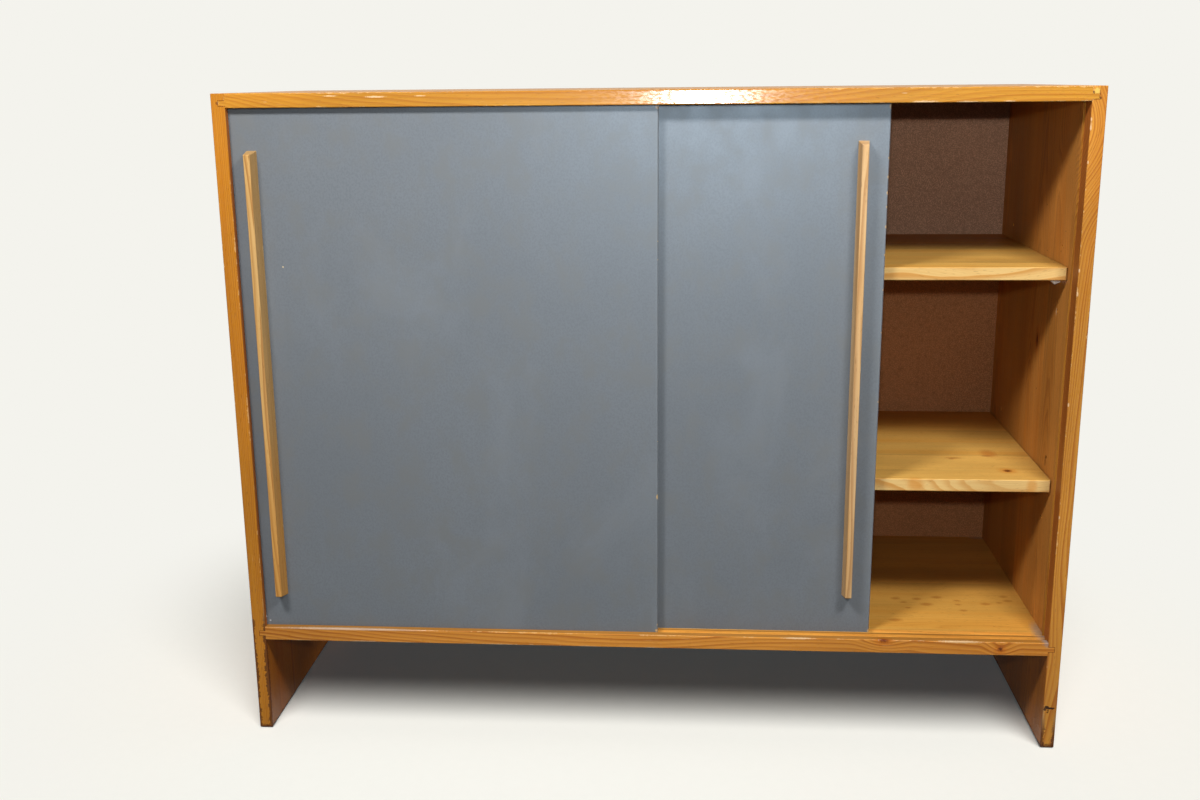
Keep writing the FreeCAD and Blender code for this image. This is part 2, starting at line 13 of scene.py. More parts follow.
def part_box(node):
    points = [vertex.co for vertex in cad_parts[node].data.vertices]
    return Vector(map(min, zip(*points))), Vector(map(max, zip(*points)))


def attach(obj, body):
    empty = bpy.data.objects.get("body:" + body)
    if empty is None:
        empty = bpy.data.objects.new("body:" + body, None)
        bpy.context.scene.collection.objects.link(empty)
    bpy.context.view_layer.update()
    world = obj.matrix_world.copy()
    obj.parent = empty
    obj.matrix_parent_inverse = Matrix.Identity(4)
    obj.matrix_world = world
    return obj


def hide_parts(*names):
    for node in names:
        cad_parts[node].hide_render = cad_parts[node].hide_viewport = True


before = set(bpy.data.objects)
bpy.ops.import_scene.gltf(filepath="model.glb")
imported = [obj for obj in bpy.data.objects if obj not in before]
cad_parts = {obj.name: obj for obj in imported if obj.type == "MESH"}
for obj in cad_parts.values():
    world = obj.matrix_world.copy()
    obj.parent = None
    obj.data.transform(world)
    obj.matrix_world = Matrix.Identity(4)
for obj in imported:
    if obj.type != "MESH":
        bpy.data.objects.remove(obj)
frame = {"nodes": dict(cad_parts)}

LOG = logging.getLogger("sliding_door_cabinet")

# In metres: past everything in any direction, and half the soft border of a mask.
FAR = 9.0
SOFT = 0.0006

Socket = bpy.types.NodeSocket
Outputs = bpy.types.bpy_prop_collection
Colour = tuple[float, float, float]
Point = tuple[float, float, float]
Value = Union[Socket, float, tuple, None]


class Grain(Enum):
    """Which way the fibres of a board run, with the turn that lays them along X."""

    ALONG = (0.0, 0.0, 0.0)
    UPRIGHT = (0.0, math.pi / 2, 0.0)


def shade(red: int, green: int, blue: int) -> Colour:
    """Turns a colour as seen on a screen into the linear one that a shader takes.

    Args:
        red: Red from 0 to 255.
        green: Green from 0 to 255.
        blue: Blue from 0 to 255.

    Returns:
        The linear colour.
    """
    def linear(level: int) -> float:
        """Undoes the screen's curve for one channel."""
        part = level / 255
        return part / 12.92 if part <= 0.04045 else ((part + 0.055) / 1.055) ** 2.4
    return linear(red), linear(green), linear(blue)


def scaled(colour: Colour, factor: float) -> Colour:
    """Makes a colour lighter or darker by a factor."""
    return colour[0] * factor, colour[1] * factor, colour[2] * factor


def block(left: float = -FAR, right: float = FAR, front: float = -FAR, back: float = FAR,
          bottom: float = -FAR, top: float = FAR) -> tuple[Point, Point]:
    """Gives the low and the high corner of a box that has no end where none is given."""
    return (left, front, bottom), (right, back, top)


class Wiring:
    """A node tree being wired up, with short ways to add the usual nodes."""

    def __init__(self, tree: bpy.types.NodeTree) -> None:
        """Keeps the tree that the nodes go into."""
        self.tree = tree

    def node(self, kind: str, **settings: object) -> bpy.types.Node:
        """Adds a shader node.

        Args:
            kind: The node's type without its ShaderNode prefix.
            settings: Properties of the node.

        Returns:
            The new node.
        """
        made = self.tree.nodes.new(f"ShaderNode{kind}")
        for name, value in settings.items():
            setattr(made, name, value)
        return made

    def feed(self, socket: Socket, value: Value) -> None:
        """Links a socket to another one, or gives it a fixed value.

        Args:
            socket: The input to feed.
            value: The socket or number it takes.
        """
        if isinstance(value, Socket):
            self.tree.links.new(value, socket)
        elif value is not None:
            if socket.type == "RGBA" and len(value) == 3:
                value = (*value, 1.0)
            socket.default_value = value

    def fed(self, kind: str, *values: Value, **settings: object) -> Outputs:
        """Adds a shader node and feeds its inputs in order.

        Args:
            kind: The node's type without its ShaderNode prefix.
            values: What its inputs take, with None for one that stays as it is.
            settings: Properties of the node.

        Returns:
            The node's outputs.
        """
        made = self.node(kind, **settings)
        for socket, value in zip(made.inputs, values):
            self.feed(socket, value)
        return made.outputs

    def math(self, operation: str, *values: Value) -> Socket:
        """Adds a Math node."""
        return self.fed("Math", *values, operation=operation)[0]

    def chain(self, operation: str, *values: Value) -> Socket:
        """Applies one operation of a Math node to several values from the left."""
        return reduce(lambda result, value: self.math(operation, result, value), values)

    def plus(self, *values: Value) -> Socket:
        """Adds values up."""
        return self.chain("ADD", *values)

    def minus(self, *values: Value) -> Socket:
        """Takes the later values from the first."""
        return self.chain("SUBTRACT", *values)

    def times(self, *values: Value) -> Socket:
        """Multiplies values."""
        return self.chain("MULTIPLY", *values)

    def vector(self, operation: str, *values: Value) -> Socket:
        """Adds a Vector Math node and gives its vector, or its number for a length."""
        outputs = self.fed("VectorMath", *values, operation=operation)
        return outputs["Value" if operation == "LENGTH" else "Vector"]

    def split(self, vector: Value) -> tuple[Socket, Socket, Socket]:
        """Takes a vector apart into its three numbers."""
        return tuple(self.fed("SeparateXYZ", vector))

    def join(self, x: Value, y: Value, z: Value) -> Socket:
        """Makes a vector of three numbers."""
        return self.fed("CombineXYZ", x, y, z)[0]

    def depths(self, vector: Value, low: Value, high: Value) -> tuple[Socket, Socket, Socket]:
        """Gives how deep inside a box a place is along each axis."""
        return self.split(self.vector("MINIMUM", self.vector("SUBTRACT", vector, low),
                                      self.vector("SUBTRACT", high, vector)))

    def mapped(self, vector: Value, place: Point = (0, 0, 0), turn: Point = (0, 0, 0),
               scale: Point = (1, 1, 1)) -> Socket:
        """Scales, turns and moves a vector with a Mapping node."""
        return self.fed("Mapping", vector, place, turn, scale)[0]

    def noise(self, vector: Value, scale: Value, detail: float = 2.0, rough: float = 0.5,
              warp: float = 0.0) -> Socket:
        """Adds a Noise Texture.

        Args:
            vector: Where it is read.
            scale: How fine it is, or how fine along each axis.
            detail: Octaves.
            rough: How strong the fine octaves are.
            warp: How far it distorts itself.

        Returns:
            The noise, about 0.5 on average.
        """
        if isinstance(scale, tuple):
            vector, scale = self.vector("MULTIPLY", vector, scale), 1.0
        made = self.node("TexNoise")
        for name, value in (("Vector", vector), ("Scale", scale), ("Detail", detail), ("Roughness", rough),
                            ("Distortion", warp)):
            self.feed(made.inputs[name], value)
        return made.outputs["Fac"]

    def span(self, value: Value, low: Value, high: Value, start: Value = 0.0, end: Value = 1.0) -> Socket:
        """Maps a number smoothly from low and high to start and end, and holds it beyond them."""
        return self.fed("MapRange", value, low, high, start, end, interpolation_type="SMOOTHSTEP")[0]

    def blend(self, factor: Value, first: Value, second: Value, mode: str = "MIX") -> Socket:
        """Mixes two colours in the Mix node's mode, all of the second where the factor is 1."""
        return self.fed("Mix", factor, *[None] * 5, first, second, data_type="RGBA", blend_type=mode)[2]

    def tinted(self, factor: Value, colour: Value, tint: Value) -> Socket:
        """Multiplies a colour by a tint, as far as the factor says."""
        return self.blend(factor, colour, tint, "MULTIPLY")

    def use(self, group: bpy.types.NodeTree, **values: Value) -> Outputs:
        """Places a node group.

        Args:
            group: The group.
            values: Its inputs, with underscores for the spaces in their names.

        Returns:
            What the group puts out, by name.
        """
        made = self.node("Group", node_tree=group)
        for name, value in values.items():
            self.feed(made.inputs[name.replace("_", " ")], value)
        return made.outputs

    def mix(self, factor: Value, first: Socket, second: Socket) -> Socket:
        """Mixes two shaders."""
        return self.fed("MixShader", factor, first, second)[0]

    def seen(self) -> Socket:
        """Gives 1 where the camera looks, also in a mirror or through glass."""
        path = self.fed("LightPath")
        return self.chain("MAXIMUM", *(path[f"Is {ray} Ray"] for ray in ("Camera", "Glossy", "Transmission")))


class Group(Wiring):
    """A node group being wired up, whose first input is the vector where it is read."""

    def __init__(self, name: str, **inputs: Union[float, Point]) -> None:
        """Opens the group.

        Args:
            name: The group's name.
            inputs: Names and first values of its other inputs, with underscores for spaces.
        """
        super().__init__(bpy.data.node_groups.new(name, "ShaderNodeTree"))
        for label, value in {"Vector": (0.0, 0.0, 0.0), **inputs}.items():
            kind = "NodeSocketVector" if isinstance(value, tuple) else "NodeSocketFloat"
            label = label.replace("_", " ")
            made = self.tree.interface.new_socket(name=label, in_out="INPUT", socket_type=kind)
            made.default_value = value
        self.given = list(self.tree.nodes.new("NodeGroupInput").outputs)[:len(inputs) + 1]

    def give(self, **values: Socket) -> bpy.types.NodeTree:
        """Closes the group.

        Args:
            values: What it puts out, by name.

        Returns:
            The finished group.
        """
        leave = self.tree.nodes.new("NodeGroupOutput")
        for label, value in values.items():
            self.tree.interface.new_socket(name=label, in_out="OUTPUT", socket_type="NodeSocketFloat")
            self.feed(leave.inputs[label], value)
        return self.tree


class Effects:
    """The shader node groups that several finishes share, each built once."""

    @cached_property
    def growth_rings(self) -> bpy.types.NodeTree:
        """Softwood grown in rings around a pith line along X, cut into glued staves across Y.

        Returns:
            A group that gives late wood, fibres, a slow change of tone, resin flecks and a
            number for each stave.
        """
        w = Group("growth rings", Stave_Width=0.11, Ring_Width=0.0032, Seed=0.0, Wander=1.0)
        vector, stave_width, ring_width, seed, wander = w.given
        along, across, through = w.split(vector)
        place = w.math("DIVIDE", across, stave_width)
        index = w.plus(w.math("FLOOR", place), seed)
        one, two, three = w.split(w.fed("TexWhiteNoise", None, index, noise_dimensions="1D")["Color"])
        # Each stave has a pith of its own, which leans and drifts along the board.
        middle = w.times(w.minus(w.math("FRACT", place), 0.5), stave_width)
        drift = w.noise(w.join(w.times(along, 1.4), w.times(index, 7.3), 0.0), 1.0, 1.0)
        drift = w.times(w.minus(drift, 0.5), w.times(wander, 0.09))
        side = w.plus(middle, w.times(w.minus(one, 0.5), 0.07), drift,
                      w.times(w.minus(three, 0.5), 0.05, along))
        deep = w.plus(through, 0.014, w.times(two, 0.05), w.times(drift, w.minus(one, 0.5)))
        radius = w.vector("LENGTH", w.join(0.0, side, deep))
        shifted = w.vector("ADD", vector, w.join(0.0, w.times(index, 3.1), 0.0))
        wobble = w.noise(shifted, (2.2, 16.0, 16.0), 3.0, 0.55)
        radius = w.plus(radius, w.times(w.minus(wobble, 0.5), w.times(wander, 0.016)))
        # Wide and narrow years follow each other, and late wood darkens slowly and ends sharply.
        pace = w.noise(w.join(w.times(radius, 45.0), index, 0.0), 1.0, 1.0)
        phase = w.plus(w.math("DIVIDE", radius, ring_width), w.times(pace, 4.0))
        turn = w.math("FRACT", phase)
        late = w.times(w.span(turn, 0.25, 0.88), w.span(turn, 0.9, 1.0, 1.0, 0.0))
        year = w.plus(w.math("FLOOR", phase), w.times(index, 11.7))
        strength = w.fed("TexWhiteNoise", None, year, noise_dimensions="1D")["Value"]
        late = w.times(late, w.plus(w.times(strength, 0.55), 0.45))
        fibre = w.noise(shifted, (9.0, 520.0, 520.0), 3.0, 0.6)
        tone = w.noise(shifted, (1.7, 9.0, 9.0), 3.0, 0.5)
        fleck = w.noise(shifted, (95.0, 900.0, 900.0), 1.0)
        return w.give(Late=late, Fibre=fibre, Tone=tone, Fleck=w.span(fleck, 0.66, 0.75), Stave=two)

    @cached_property
    def edge_wear(self) -> bpy.types.NodeTree:
        """Ragged wear along the edges of a board, which are where two depths in its box are small.

        Returns:
            A group that gives the wear, and a soft mask of how near an edge is.
        """
        w = Group("edge wear", Low=(0.0, 0.0, 0.0), High=(1.0, 1.0, 1.0), Reach=0.003, Scale=90.0, Amount=0.5)
        vector, low, high, reach, scale, amount = w.given
        a, b, c = w.depths(vector, low, high)
        distance = w.math("MAXIMUM", w.math("MINIMUM", a, b), w.math("MINIMUM", w.math("MAXIMUM", a, b), c))
        coarse = w.noise(vector, scale, 4.0, 0.65)
        patch = w.noise(vector, 9.0, 2.0)
        ragged = w.plus(w.times(coarse, 0.75), w.times(patch, 0.5))
        bite = w.times(w.span(ragged, w.minus(0.95, amount), 0.95), reach)
        return w.give(Wear=w.span(w.minus(bite, distance), -0.0002, 0.0003),
                      Near=w.span(distance, 0.0, w.times(reach, 3.0), 1.0, 0.0))

    @cached_property
    def zone(self) -> bpy.types.NodeTree:
        """A part of a piece, such as a face, a strip or a shadow line.

        Returns:
            A group that gives 1 inside a box and 0 outside it.
        """
        everywhere = block()
        w = Group("zone", Low=everywhere[0], High=everywhere[1], Soft=SOFT)
        vector, low, high, soft = w.given
        nearest = w.chain("MINIMUM", *w.depths(vector, low, high))
        return w.give(Inside=w.span(nearest, w.times(soft, -1.0), soft))

    @cached_property
    def spot(self) -> bpy.types.NodeTree:
        """A ragged spot such as a chip, a stain or a knot.

        Returns:
            A group that gives the spot, and how far from its middle a place is in radii.
        """
        w = Group("spot", Centre=(0.0, 0.0, 0.0), Stretch=(1.0, 1.0, 1.0), Radius=0.005, Ragged=0.5,
                  Soft=0.15)
        vector, centre, stretch, radius, ragged, soft = w.given
        away = w.vector("SUBTRACT", vector, centre)
        radii = w.math("DIVIDE", w.vector("LENGTH", w.vector("MULTIPLY", away, stretch)), radius)
        radii = w.plus(radii, w.times(w.minus(w.noise(away, 420.0, 2.0), 0.5), ragged))
        return w.give(Spot=w.span(radii, w.minus(1.0, soft), w.plus(1.0, soft), 1.0, 0.0), Radii=radii)

    @cached_property
    def scuffs(self) -> bpy.types.NodeTree:
        """Short thin scratches along X, in patches.

        Returns:
            A group that gives the scratches.
        """
        w = Group("scuffs", Amount=0.5, Seed=0.0)
        vector, amount, seed = w.given
        moved = w.vector("ADD", vector, w.join(seed, seed, 0.0))
        lines = w.noise(moved, (26.0, 620.0, 620.0), 1.0, 0.5, 0.3)
        patches = w.noise(moved, 11.0, 3.0, 0.6)
        limit = w.minus(0.85, w.times(amount, 0.2))
        drawn = w.span(lines, limit, w.plus(limit, 0.04))
        return w.give(Scuff=w.times(drawn, w.span(patches, 0.5, 0.62)))

    @cached_property
    def cloud(self) -> bpy.types.NodeTree:
        """Uneven tone in three sizes, for paint, board and metal.

        Returns:
            A group that gives a broad, a middle and a fine change of tone.
        """
        w = Group("cloud", Broad=3.0, Middle=22.0, Fine=260.0, Seed=0.0)
        vector, broad, middle, fine, seed = w.given
        moved = w.vector("ADD", vector, w.join(seed, seed, seed))
        return w.give(Broad=w.noise(moved, broad, 3.0, 0.6), Middle=w.noise(moved, middle, 4.0, 0.6),
                      Fine=w.noise(moved, fine, 3.0, 0.6))


EFFECTS = Effects()


@dataclass(frozen=True)
class Spot:
    """A chip, stain or knot at one place of a piece."""

    centre: Point
    radius: float
    colour: Colour
    strength: float = 1.0
    stretch: Point = (1.0, 1.0, 1.0)
    ragged: float = 0.6
    soft: float = 0.2


@dataclass(frozen=True)
class Knot:
    """A branch's stub in a board, with the growth rings bent round it; radius 0 bends them alone."""

    centre: Point
    radius: float
    spread: float = 0.03
    lift: float = 0.012
    stretch: Point = (0.6, 1.0, 1.0)
    ragged: float = 1.1
    soft: float = 0.15
    halo: Colour = (0.86, 0.6, 0.36)
    core: Colour = shade(134, 66, 24)
    eye: Colour = shade(66, 30, 14)


@dataclass(frozen=True)
class Zone:
    """A box-shaped part of a piece."""

    low: Point
    high: Point
    soft: float = SOFT


@dataclass(frozen=True)
class Patch:
    """A box-shaped part of a piece with its own tint."""

    low: Point
    high: Point
    colour: Colour
    strength: float = 1.0
    soft: float = SOFT


class Bench(Wiring):
    """One material being wired up, with its coordinates and its shader."""

    # What is left of a surface's colour in the light that it throws on others.
    bounced: Colour = (0.75, 0.72, 0.7)

    def __init__(self, name: str) -> None:
        """Opens a new material with a Principled shader and Object coordinates.

        Args:
            name: The material's name.
        """
        self.material = bpy.data.materials.new(name)
        self.material.use_nodes = True
        super().__init__(self.material.node_tree)
        self.shader = self.tree.nodes["Principled BSDF"]
        self.place = self.fed("TexCoord")["Object"]

    def inside(self, part: Union[Zone, Patch]) -> Socket:
        """Masks one zone or patch."""
        return self.use(EFFECTS.zone, Vector=self.place, Low=part.low, High=part.high,
                        Soft=part.soft)["Inside"]

    def within(self, zones: tuple[Zone, ...]) -> Union[Socket, None]:
        """Masks several zones together, or gives nothing where there are none."""
        return self.chain("MAXIMUM", *(self.inside(zone) for zone in zones)) if zones else None

    def blot(self, mark: Union[Spot, Knot]) -> Outputs:
        """Masks one spot or knot, and gives how far away it is in radii."""
        return self.use(EFFECTS.spot, Vector=self.place, Centre=mark.centre, Stretch=mark.stretch,
                        Radius=mark.radius, Ragged=mark.ragged, Soft=mark.soft)

    def choose(self, mask: Union[Socket, None], outer: Union[float, Colour],
               inner: Union[float, Colour]) -> Value:
        """Gives one number or colour outside a mask and another one inside it.

        Args:
            mask: The mask, or nothing.
            outer: What holds outside it, or everywhere where there is no mask.
            inner: What holds inside it.

        Returns:
            The number or colour.
        """
        if mask is None:
            return outer
        if isinstance(outer, tuple):
            return self.blend(mask, outer, inner)
        return self.plus(self.times(mask, inner - outer), outer)

    def mark(self, colour: Socket, spots: tuple[Spot, ...]) -> Socket:
        """Lays spots over a colour.

        Args:
            colour: The colour so far.
            spots: What is laid over it, in order.

        Returns:
            The colour with the spots.
        """
        for spot in spots:
            colour = self.blend(self.times(self.blot(spot)["Spot"], spot.strength), colour, spot.colour)
        return colour

    def bend(self, laid: Socket, knots: tuple[Knot, ...]) -> Socket:
        """Bends the growth rings round knots.

        Args:
            laid: Where the rings are read, with the fibres along X.
            knots: The knots.

        Returns:
            The bent place.
        """
        for knot in knots:
            away = self.vector("MULTIPLY", self.vector("SUBTRACT", self.place, knot.centre), knot.stretch)
            swell = self.span(self.vector("LENGTH", away), 0.0, knot.spread, knot.lift, 0.0)
            laid = self.vector("ADD", laid, self.join(0.0, 0.0, swell))
        return laid

    def stub(self, colour: Socket, knots: tuple[Knot, ...]) -> Socket:
        """Lays the dark cores of knots over a colour.

        Args:
            colour: The colour so far.
            knots: The knots.

        Returns:
            The colour with the knots.
        """
        for knot in (knot for knot in knots if knot.radius):
            radii = self.blot(knot)["Radii"]
            colour = self.tinted(self.span(radii, 0.6, 2.5, 0.7, 0.0), colour, knot.halo)
            colour = self.blend(self.span(radii, 0.35, 1.1, 0.85, 0.0), colour, knot.core)
            colour = self.blend(self.span(radii, 0.15, 0.6, 0.75, 0.0), colour, knot.eye)
        return colour

    def tint(self, colour: Socket, patches: tuple[Patch, ...]) -> Socket:
        """Multiplies parts of a colour by a tint.

        Args:
            colour: The colour so far.
            patches: The parts with their tints.

        Returns:
            The tinted colour.
        """
        for patch in patches:
            factor = self.times(self.inside(patch), patch.strength)
            colour = self.tinted(factor, colour, patch.colour)
        return colour

    def finish(self, colour: Socket, rough: Value, height: Value, depth: float,
               **fixed: float) -> bpy.types.Material:
        """Feeds the shader.

        Args:
            colour: Base colour.
            rough: Roughness.
            height: Height of the bump from 0 to 1.
            depth: How deep that bump is in metres.
            fixed: Other inputs of the shader that are the same all over.

        Returns:
            The material.
        """
        bounce = self.fed("LightPath")["Is Diffuse Ray"]
        colour = self.blend(bounce, colour, self.tinted(1.0, colour, self.bounced))
        bump = self.node("Bump")
        self.feed(bump.inputs["Height"], height)
        self.feed(bump.inputs["Distance"], depth)
        self.surface(Base_Color=colour, Roughness=rough, Normal=bump.outputs[0], **fixed)
        return self.material

    def surface(self, **values: Value) -> None:
        """Feeds the shader's inputs by name, with underscores for spaces."""
        for name, value in values.items():
            self.feed(self.shader.inputs[name.replace("_", " ")], value)


@dataclass(frozen=True)
class Pine:
    """Solid pine, stained and varnished outside and paler inside.

    A pair of numbers holds outside and inside, or on clean and on dirty edges.
    """

    name: str
    low: Point
    high: Point
    grain: Grain
    seed: float
    early: Colour
    late: Colour
    inner_early: Colour
    inner_late: Colour
    inside: tuple[Zone, ...] = ()
    dirty: tuple[Zone, ...] = ()
    tints: tuple[Patch, ...] = ()
    spots: tuple[Spot, ...] = ()
    knots: tuple[Knot, ...] = ()
    worn: Colour = shade(232, 190, 130)
    dirt: Colour = shade(88, 46, 20)
    heartwood: Colour = (0.94, 0.74, 0.46)
    resin: Colour = shade(84, 44, 16)
    wear: float = 0.36
    dirty_wear: float = 0.66
    edge_reach: tuple[float, float] = (0.0034, 0.0085)
    edge_scale: tuple[float, float] = (120.0, 210.0)
    edge_strength: tuple[float, float] = (0.46, 0.85)
    streaks: tuple[float, float] = (0.3, 0.14)
    outer_ring: float = 0.9
    inner_ring: float = 0.5
    band: float = 0.45
    tilt: float = 0.0
    ring: float = 0.0034
    stave: float = 0.09
    wander: float = 1.0
    coat: float = 0.2
    inner_coat: float = 0.03
    relief: float = 0.00025

    def make(self) -> bpy.types.Material:
        """Builds the material.

        Returns:
            The finished pine.
        """
        w = Bench(self.name)
        middle = tuple(-(low + high) / 2 for low, high in zip(self.low, self.high))
        turn = (0.0, self.grain.value[1] + self.tilt, self.tilt * 0.4)
        laid = w.mapped(w.mapped(w.place, middle), (self.seed * 0.37, 0.0, 0.0), turn)
        rings = w.use(EFFECTS.growth_rings, Vector=w.bend(laid, self.knots), Stave_Width=self.stave,
                      Ring_Width=self.ring, Seed=self.seed, Wander=self.wander)
        within, grubby = w.within(self.inside), w.within(self.dirty)
        early = w.choose(within, self.early, self.inner_early)
        late = w.choose(within, self.late, self.inner_late)
        strength = w.choose(within, self.outer_ring, self.inner_ring)
        colour = w.blend(w.times(rings["Late"], strength), early, late)
        streak = w.span(rings["Fibre"], 0.3, 0.75)
        colour = w.blend(w.times(streak, w.choose(within, *self.streaks)), colour, late)
        heart = w.noise(laid, (1.1, 24.0, 24.0), 3.0, 0.55)
        colour = w.tinted(w.times(w.span(heart, 0.48, 0.68), self.band), colour, self.heartwood)
        tone = w.span(rings["Tone"], 0.3, 0.7, 0.82, 1.12)
        stave = w.plus(w.times(rings["Stave"], 0.12), 0.94)
        colour = w.vector("MULTIPLY", colour, w.join(*[w.times(tone, stave)] * 3))
        colour = w.blend(w.times(rings["Fleck"], 0.35), colour, self.resin)
        colour = w.tint(colour, self.tints)
        wear = w.use(EFFECTS.edge_wear, Vector=w.place, Low=self.low, High=self.high,
                     Reach=w.choose(grubby, *self.edge_reach), Scale=w.choose(grubby, *self.edge_scale),
                     Amount=w.choose(grubby, self.wear, self.dirty_wear))
        colour = w.blend(w.times(wear["Wear"], w.choose(grubby, *self.edge_strength)), colour,
                         w.choose(grubby, self.worn, self.dirt))
        scuff = w.use(EFFECTS.scuffs, Vector=laid, Amount=0.55, Seed=self.seed)
        colour = w.blend(w.times(scuff["Scuff"], 0.35), colour, self.worn)
        colour = w.mark(w.stub(colour, self.knots), self.spots)
        rough = w.plus(w.times(rings["Tone"], 0.2), 0.32, w.times(wear["Wear"], 0.25))
        height = w.minus(w.plus(w.times(rings["Late"], 0.5), w.times(streak, 0.35)),
                         w.times(wear["Wear"], 0.6))
        ripple = w.noise(laid, (160.0, 420.0, 420.0), 2.0)
        w.surface(Coat_Weight=w.times(w.choose(within, self.coat, self.inner_coat),
                                      w.span(ripple, 0.36, 0.64, 0.3, 1.7)))
        return w.finish(colour, rough, height, self.relief, Coat_Roughness=0.15, Specular_IOR_Level=0.06)


@dataclass(frozen=True)
class GreyPaint:
    """Satin grey paint on a flat door, rolled on and chipped along its edges."""

    name: str
    low: Point
    high: Point
    seed: float
    colour: Colour = shade(109, 114, 119)
    chip: Colour = shade(206, 180, 132)
    scuffed: Colour = shade(150, 152, 150)
    rubbed: Colour = shade(140, 145, 150)
    edge_reach: float = 0.0018
    relief: float = 0.00008
    spots: tuple[Spot, ...] = ()

    def make(self) -> bpy.types.Material:
        """Builds the material.

        Returns:
            The finished paint.
        """
        w = Bench(self.name)
        cloud = w.use(EFFECTS.cloud, Vector=w.mapped(w.place, scale=(1.0, 1.0, 0.8)), Broad=4.0,
                      Middle=26.0, Fine=420.0, Seed=self.seed)
        light = w.blend(w.span(cloud["Broad"], 0.3, 0.7), self.colour, scaled(self.colour, 1.08))
        light = w.blend(w.span(cloud["Fine"], 0.4, 0.66, 0.0, 0.6), light, scaled(self.colour, 0.86))
        warm = (self.colour[0] * 1.02, self.colour[1] * 0.97, self.colour[2] * 0.9)
        colour = w.blend(w.span(cloud["Middle"], 0.42, 0.72, 0.0, 0.9), light, warm)
        wiped = w.mapped(w.place, turn=(0.0, 0.25, 0.0), scale=(8.0, 8.0, 4.5))
        smear = w.noise(wiped, 1.0, 4.0, 0.6, 0.6)
        colour = w.blend(w.span(smear, 0.48, 0.76, 0.0, 0.4), colour, scaled(self.colour, 1.3))
        scuff = w.use(EFFECTS.scuffs, Vector=w.mapped(w.place, turn=(0.0, 0.4, 0.0)), Amount=0.25,
                      Seed=self.seed)
        colour = w.blend(w.times(scuff["Scuff"], 0.18), colour, self.scuffed)
        wear = w.use(EFFECTS.edge_wear, Vector=w.place, Low=self.low, High=self.high,
                     Reach=self.edge_reach, Scale=150.0, Amount=0.27)
        colour = w.blend(w.times(wear["Near"], 0.16), colour, self.rubbed)
        colour = w.blend(w.times(wear["Wear"], 0.8), colour, self.chip)
        colour = w.mark(colour, self.spots)
        rough = w.plus(w.span(cloud["Middle"], 0.3, 0.7, 0.4, 0.46), w.times(wear["Wear"], 0.2))
        height = w.minus(w.plus(w.times(cloud["Fine"], 0.5), cloud["Middle"]), w.times(wear["Wear"], 0.8))
        return w.finish(colour, rough, height, self.relief, Specular_IOR_Level=0.2)


@dataclass(frozen=True)
class Hardboard:
    """Brown pressed board with dark and pale specks of fibre, a painted glare over the upper part of its
    inner face and a painted shadow along the top of that face.
    """

    name: str
    seed: float
    colour: Colour = shade(178, 123, 81)
    # Painted glare: a paler, greyer colour over the inner face's upper part stands in for the reflection of
    # the lamp beside the camera.
    faded: Colour = shade(196, 156, 128)
    painted_glare_part: Zone = Zone(*block(back=0.2285, bottom=0.69), 0.002)
    # Painted shadow: a darker strip along the top of the inner face, where the top board's shadow falls.
    painted_shadow: Colour = shade(130, 97, 79)
    painted_shadow_part: Zone = Zone(*block(back=0.2285, bottom=0.8985), 0.002)
    specks: tuple[float, float] = (0.72, 1.45)
    relief: float = 0.0002

    def make(self) -> bpy.types.Material:
        """Builds the material.

        Returns:
            The finished board.
        """
        w = Bench(self.name)
        cloud = w.use(EFFECTS.cloud, Vector=w.place, Broad=2.5, Middle=140.0, Fine=600.0, Seed=self.seed)
        # Painted glare on the upper part of the inner face.
        base = w.blend(w.within((self.painted_glare_part,)), self.colour, self.faded)
        # Painted shadow under the top board.
        base = w.blend(w.within((self.painted_shadow_part,)), base, self.painted_shadow)
        dark, pale = (w.vector("MULTIPLY", base, (level,) * 3) for level in self.specks)
        colour = w.blend(w.span(cloud["Broad"], 0.3, 0.7), dark, base)
        colour = w.blend(w.span(cloud["Fine"], 0.42, 0.64, 0.0, 0.8), colour, pale)
        colour = w.blend(w.span(cloud["Middle"], 0.48, 0.74, 0.0, 0.6), colour, dark)
        rough = w.span(cloud["Broad"], 0.3, 0.7, 0.5, 0.7)
        height = w.plus(w.times(cloud["Middle"], 0.5), cloud["Fine"])
        return w.finish(colour, rough, height, self.relief, Specular_IOR_Level=0.04)


@dataclass(frozen=True)
class Metal:
    """Drawn or pressed metal with fine streaks and dull patches."""

    name: str
    seed: float
    colour: Colour
    dull: Colour
    streak: Point = (60.0, 900.0, 900.0)
    metallic: float = 1.0
    rough: float = 0.16
    relief: float = 0.00006

    def make(self) -> bpy.types.Material:
        """Builds the material.

        Returns:
            The finished metal.
        """
        w = Bench(self.name)
        cloud = w.use(EFFECTS.cloud, Vector=w.place, Broad=30.0, Middle=240.0, Fine=900.0, Seed=self.seed)
        streak = w.noise(w.mapped(w.place, scale=self.streak), 1.0, 2.0)
        tarnish = w.span(cloud["Middle"], 0.45, 0.75)
        colour = w.blend(tarnish, self.colour, self.dull)
        rough = w.plus(w.times(streak, 0.16), w.times(tarnish, 0.18), self.rough)
        height = w.plus(w.times(streak, 0.5), cloud["Fine"])
        return w.finish(colour, rough, height, self.relief, Metallic=self.metallic)


def dress(piece: bpy.types.Object, finish: Union[Pine, GreyPaint, Hardboard, Metal]) -> None:
    """Gives a piece one finish all over."""
    piece.data.materials.clear()
    piece.data.materials.append(finish.make())


def in_order(shape: bmesh.types.BMesh) -> tuple[list[Point], list, list[tuple[int, ...]]]:
    """Lists a bmesh in one fixed order, which the operators that build it don't keep from run to run.

    Args:
        shape: The bmesh.

    Returns:
        Its corners, no loose edges, and its faces, each from its lowest corner on.
    """
    verts = sorted(shape.verts, key=lambda vert: tuple(round(number, 6) for number in vert.co))
    place = {vert: index for index, vert in enumerate(verts)}
    rings = [[place[vert] for vert in face.verts] for face in shape.faces]
    starts = [ring.index(min(ring)) for ring in rings]
    faces = sorted(tuple(ring[start:] + ring[:start]) for ring, start in zip(rings, starts))
    return [tuple(vert.co) for vert in verts], [], faces


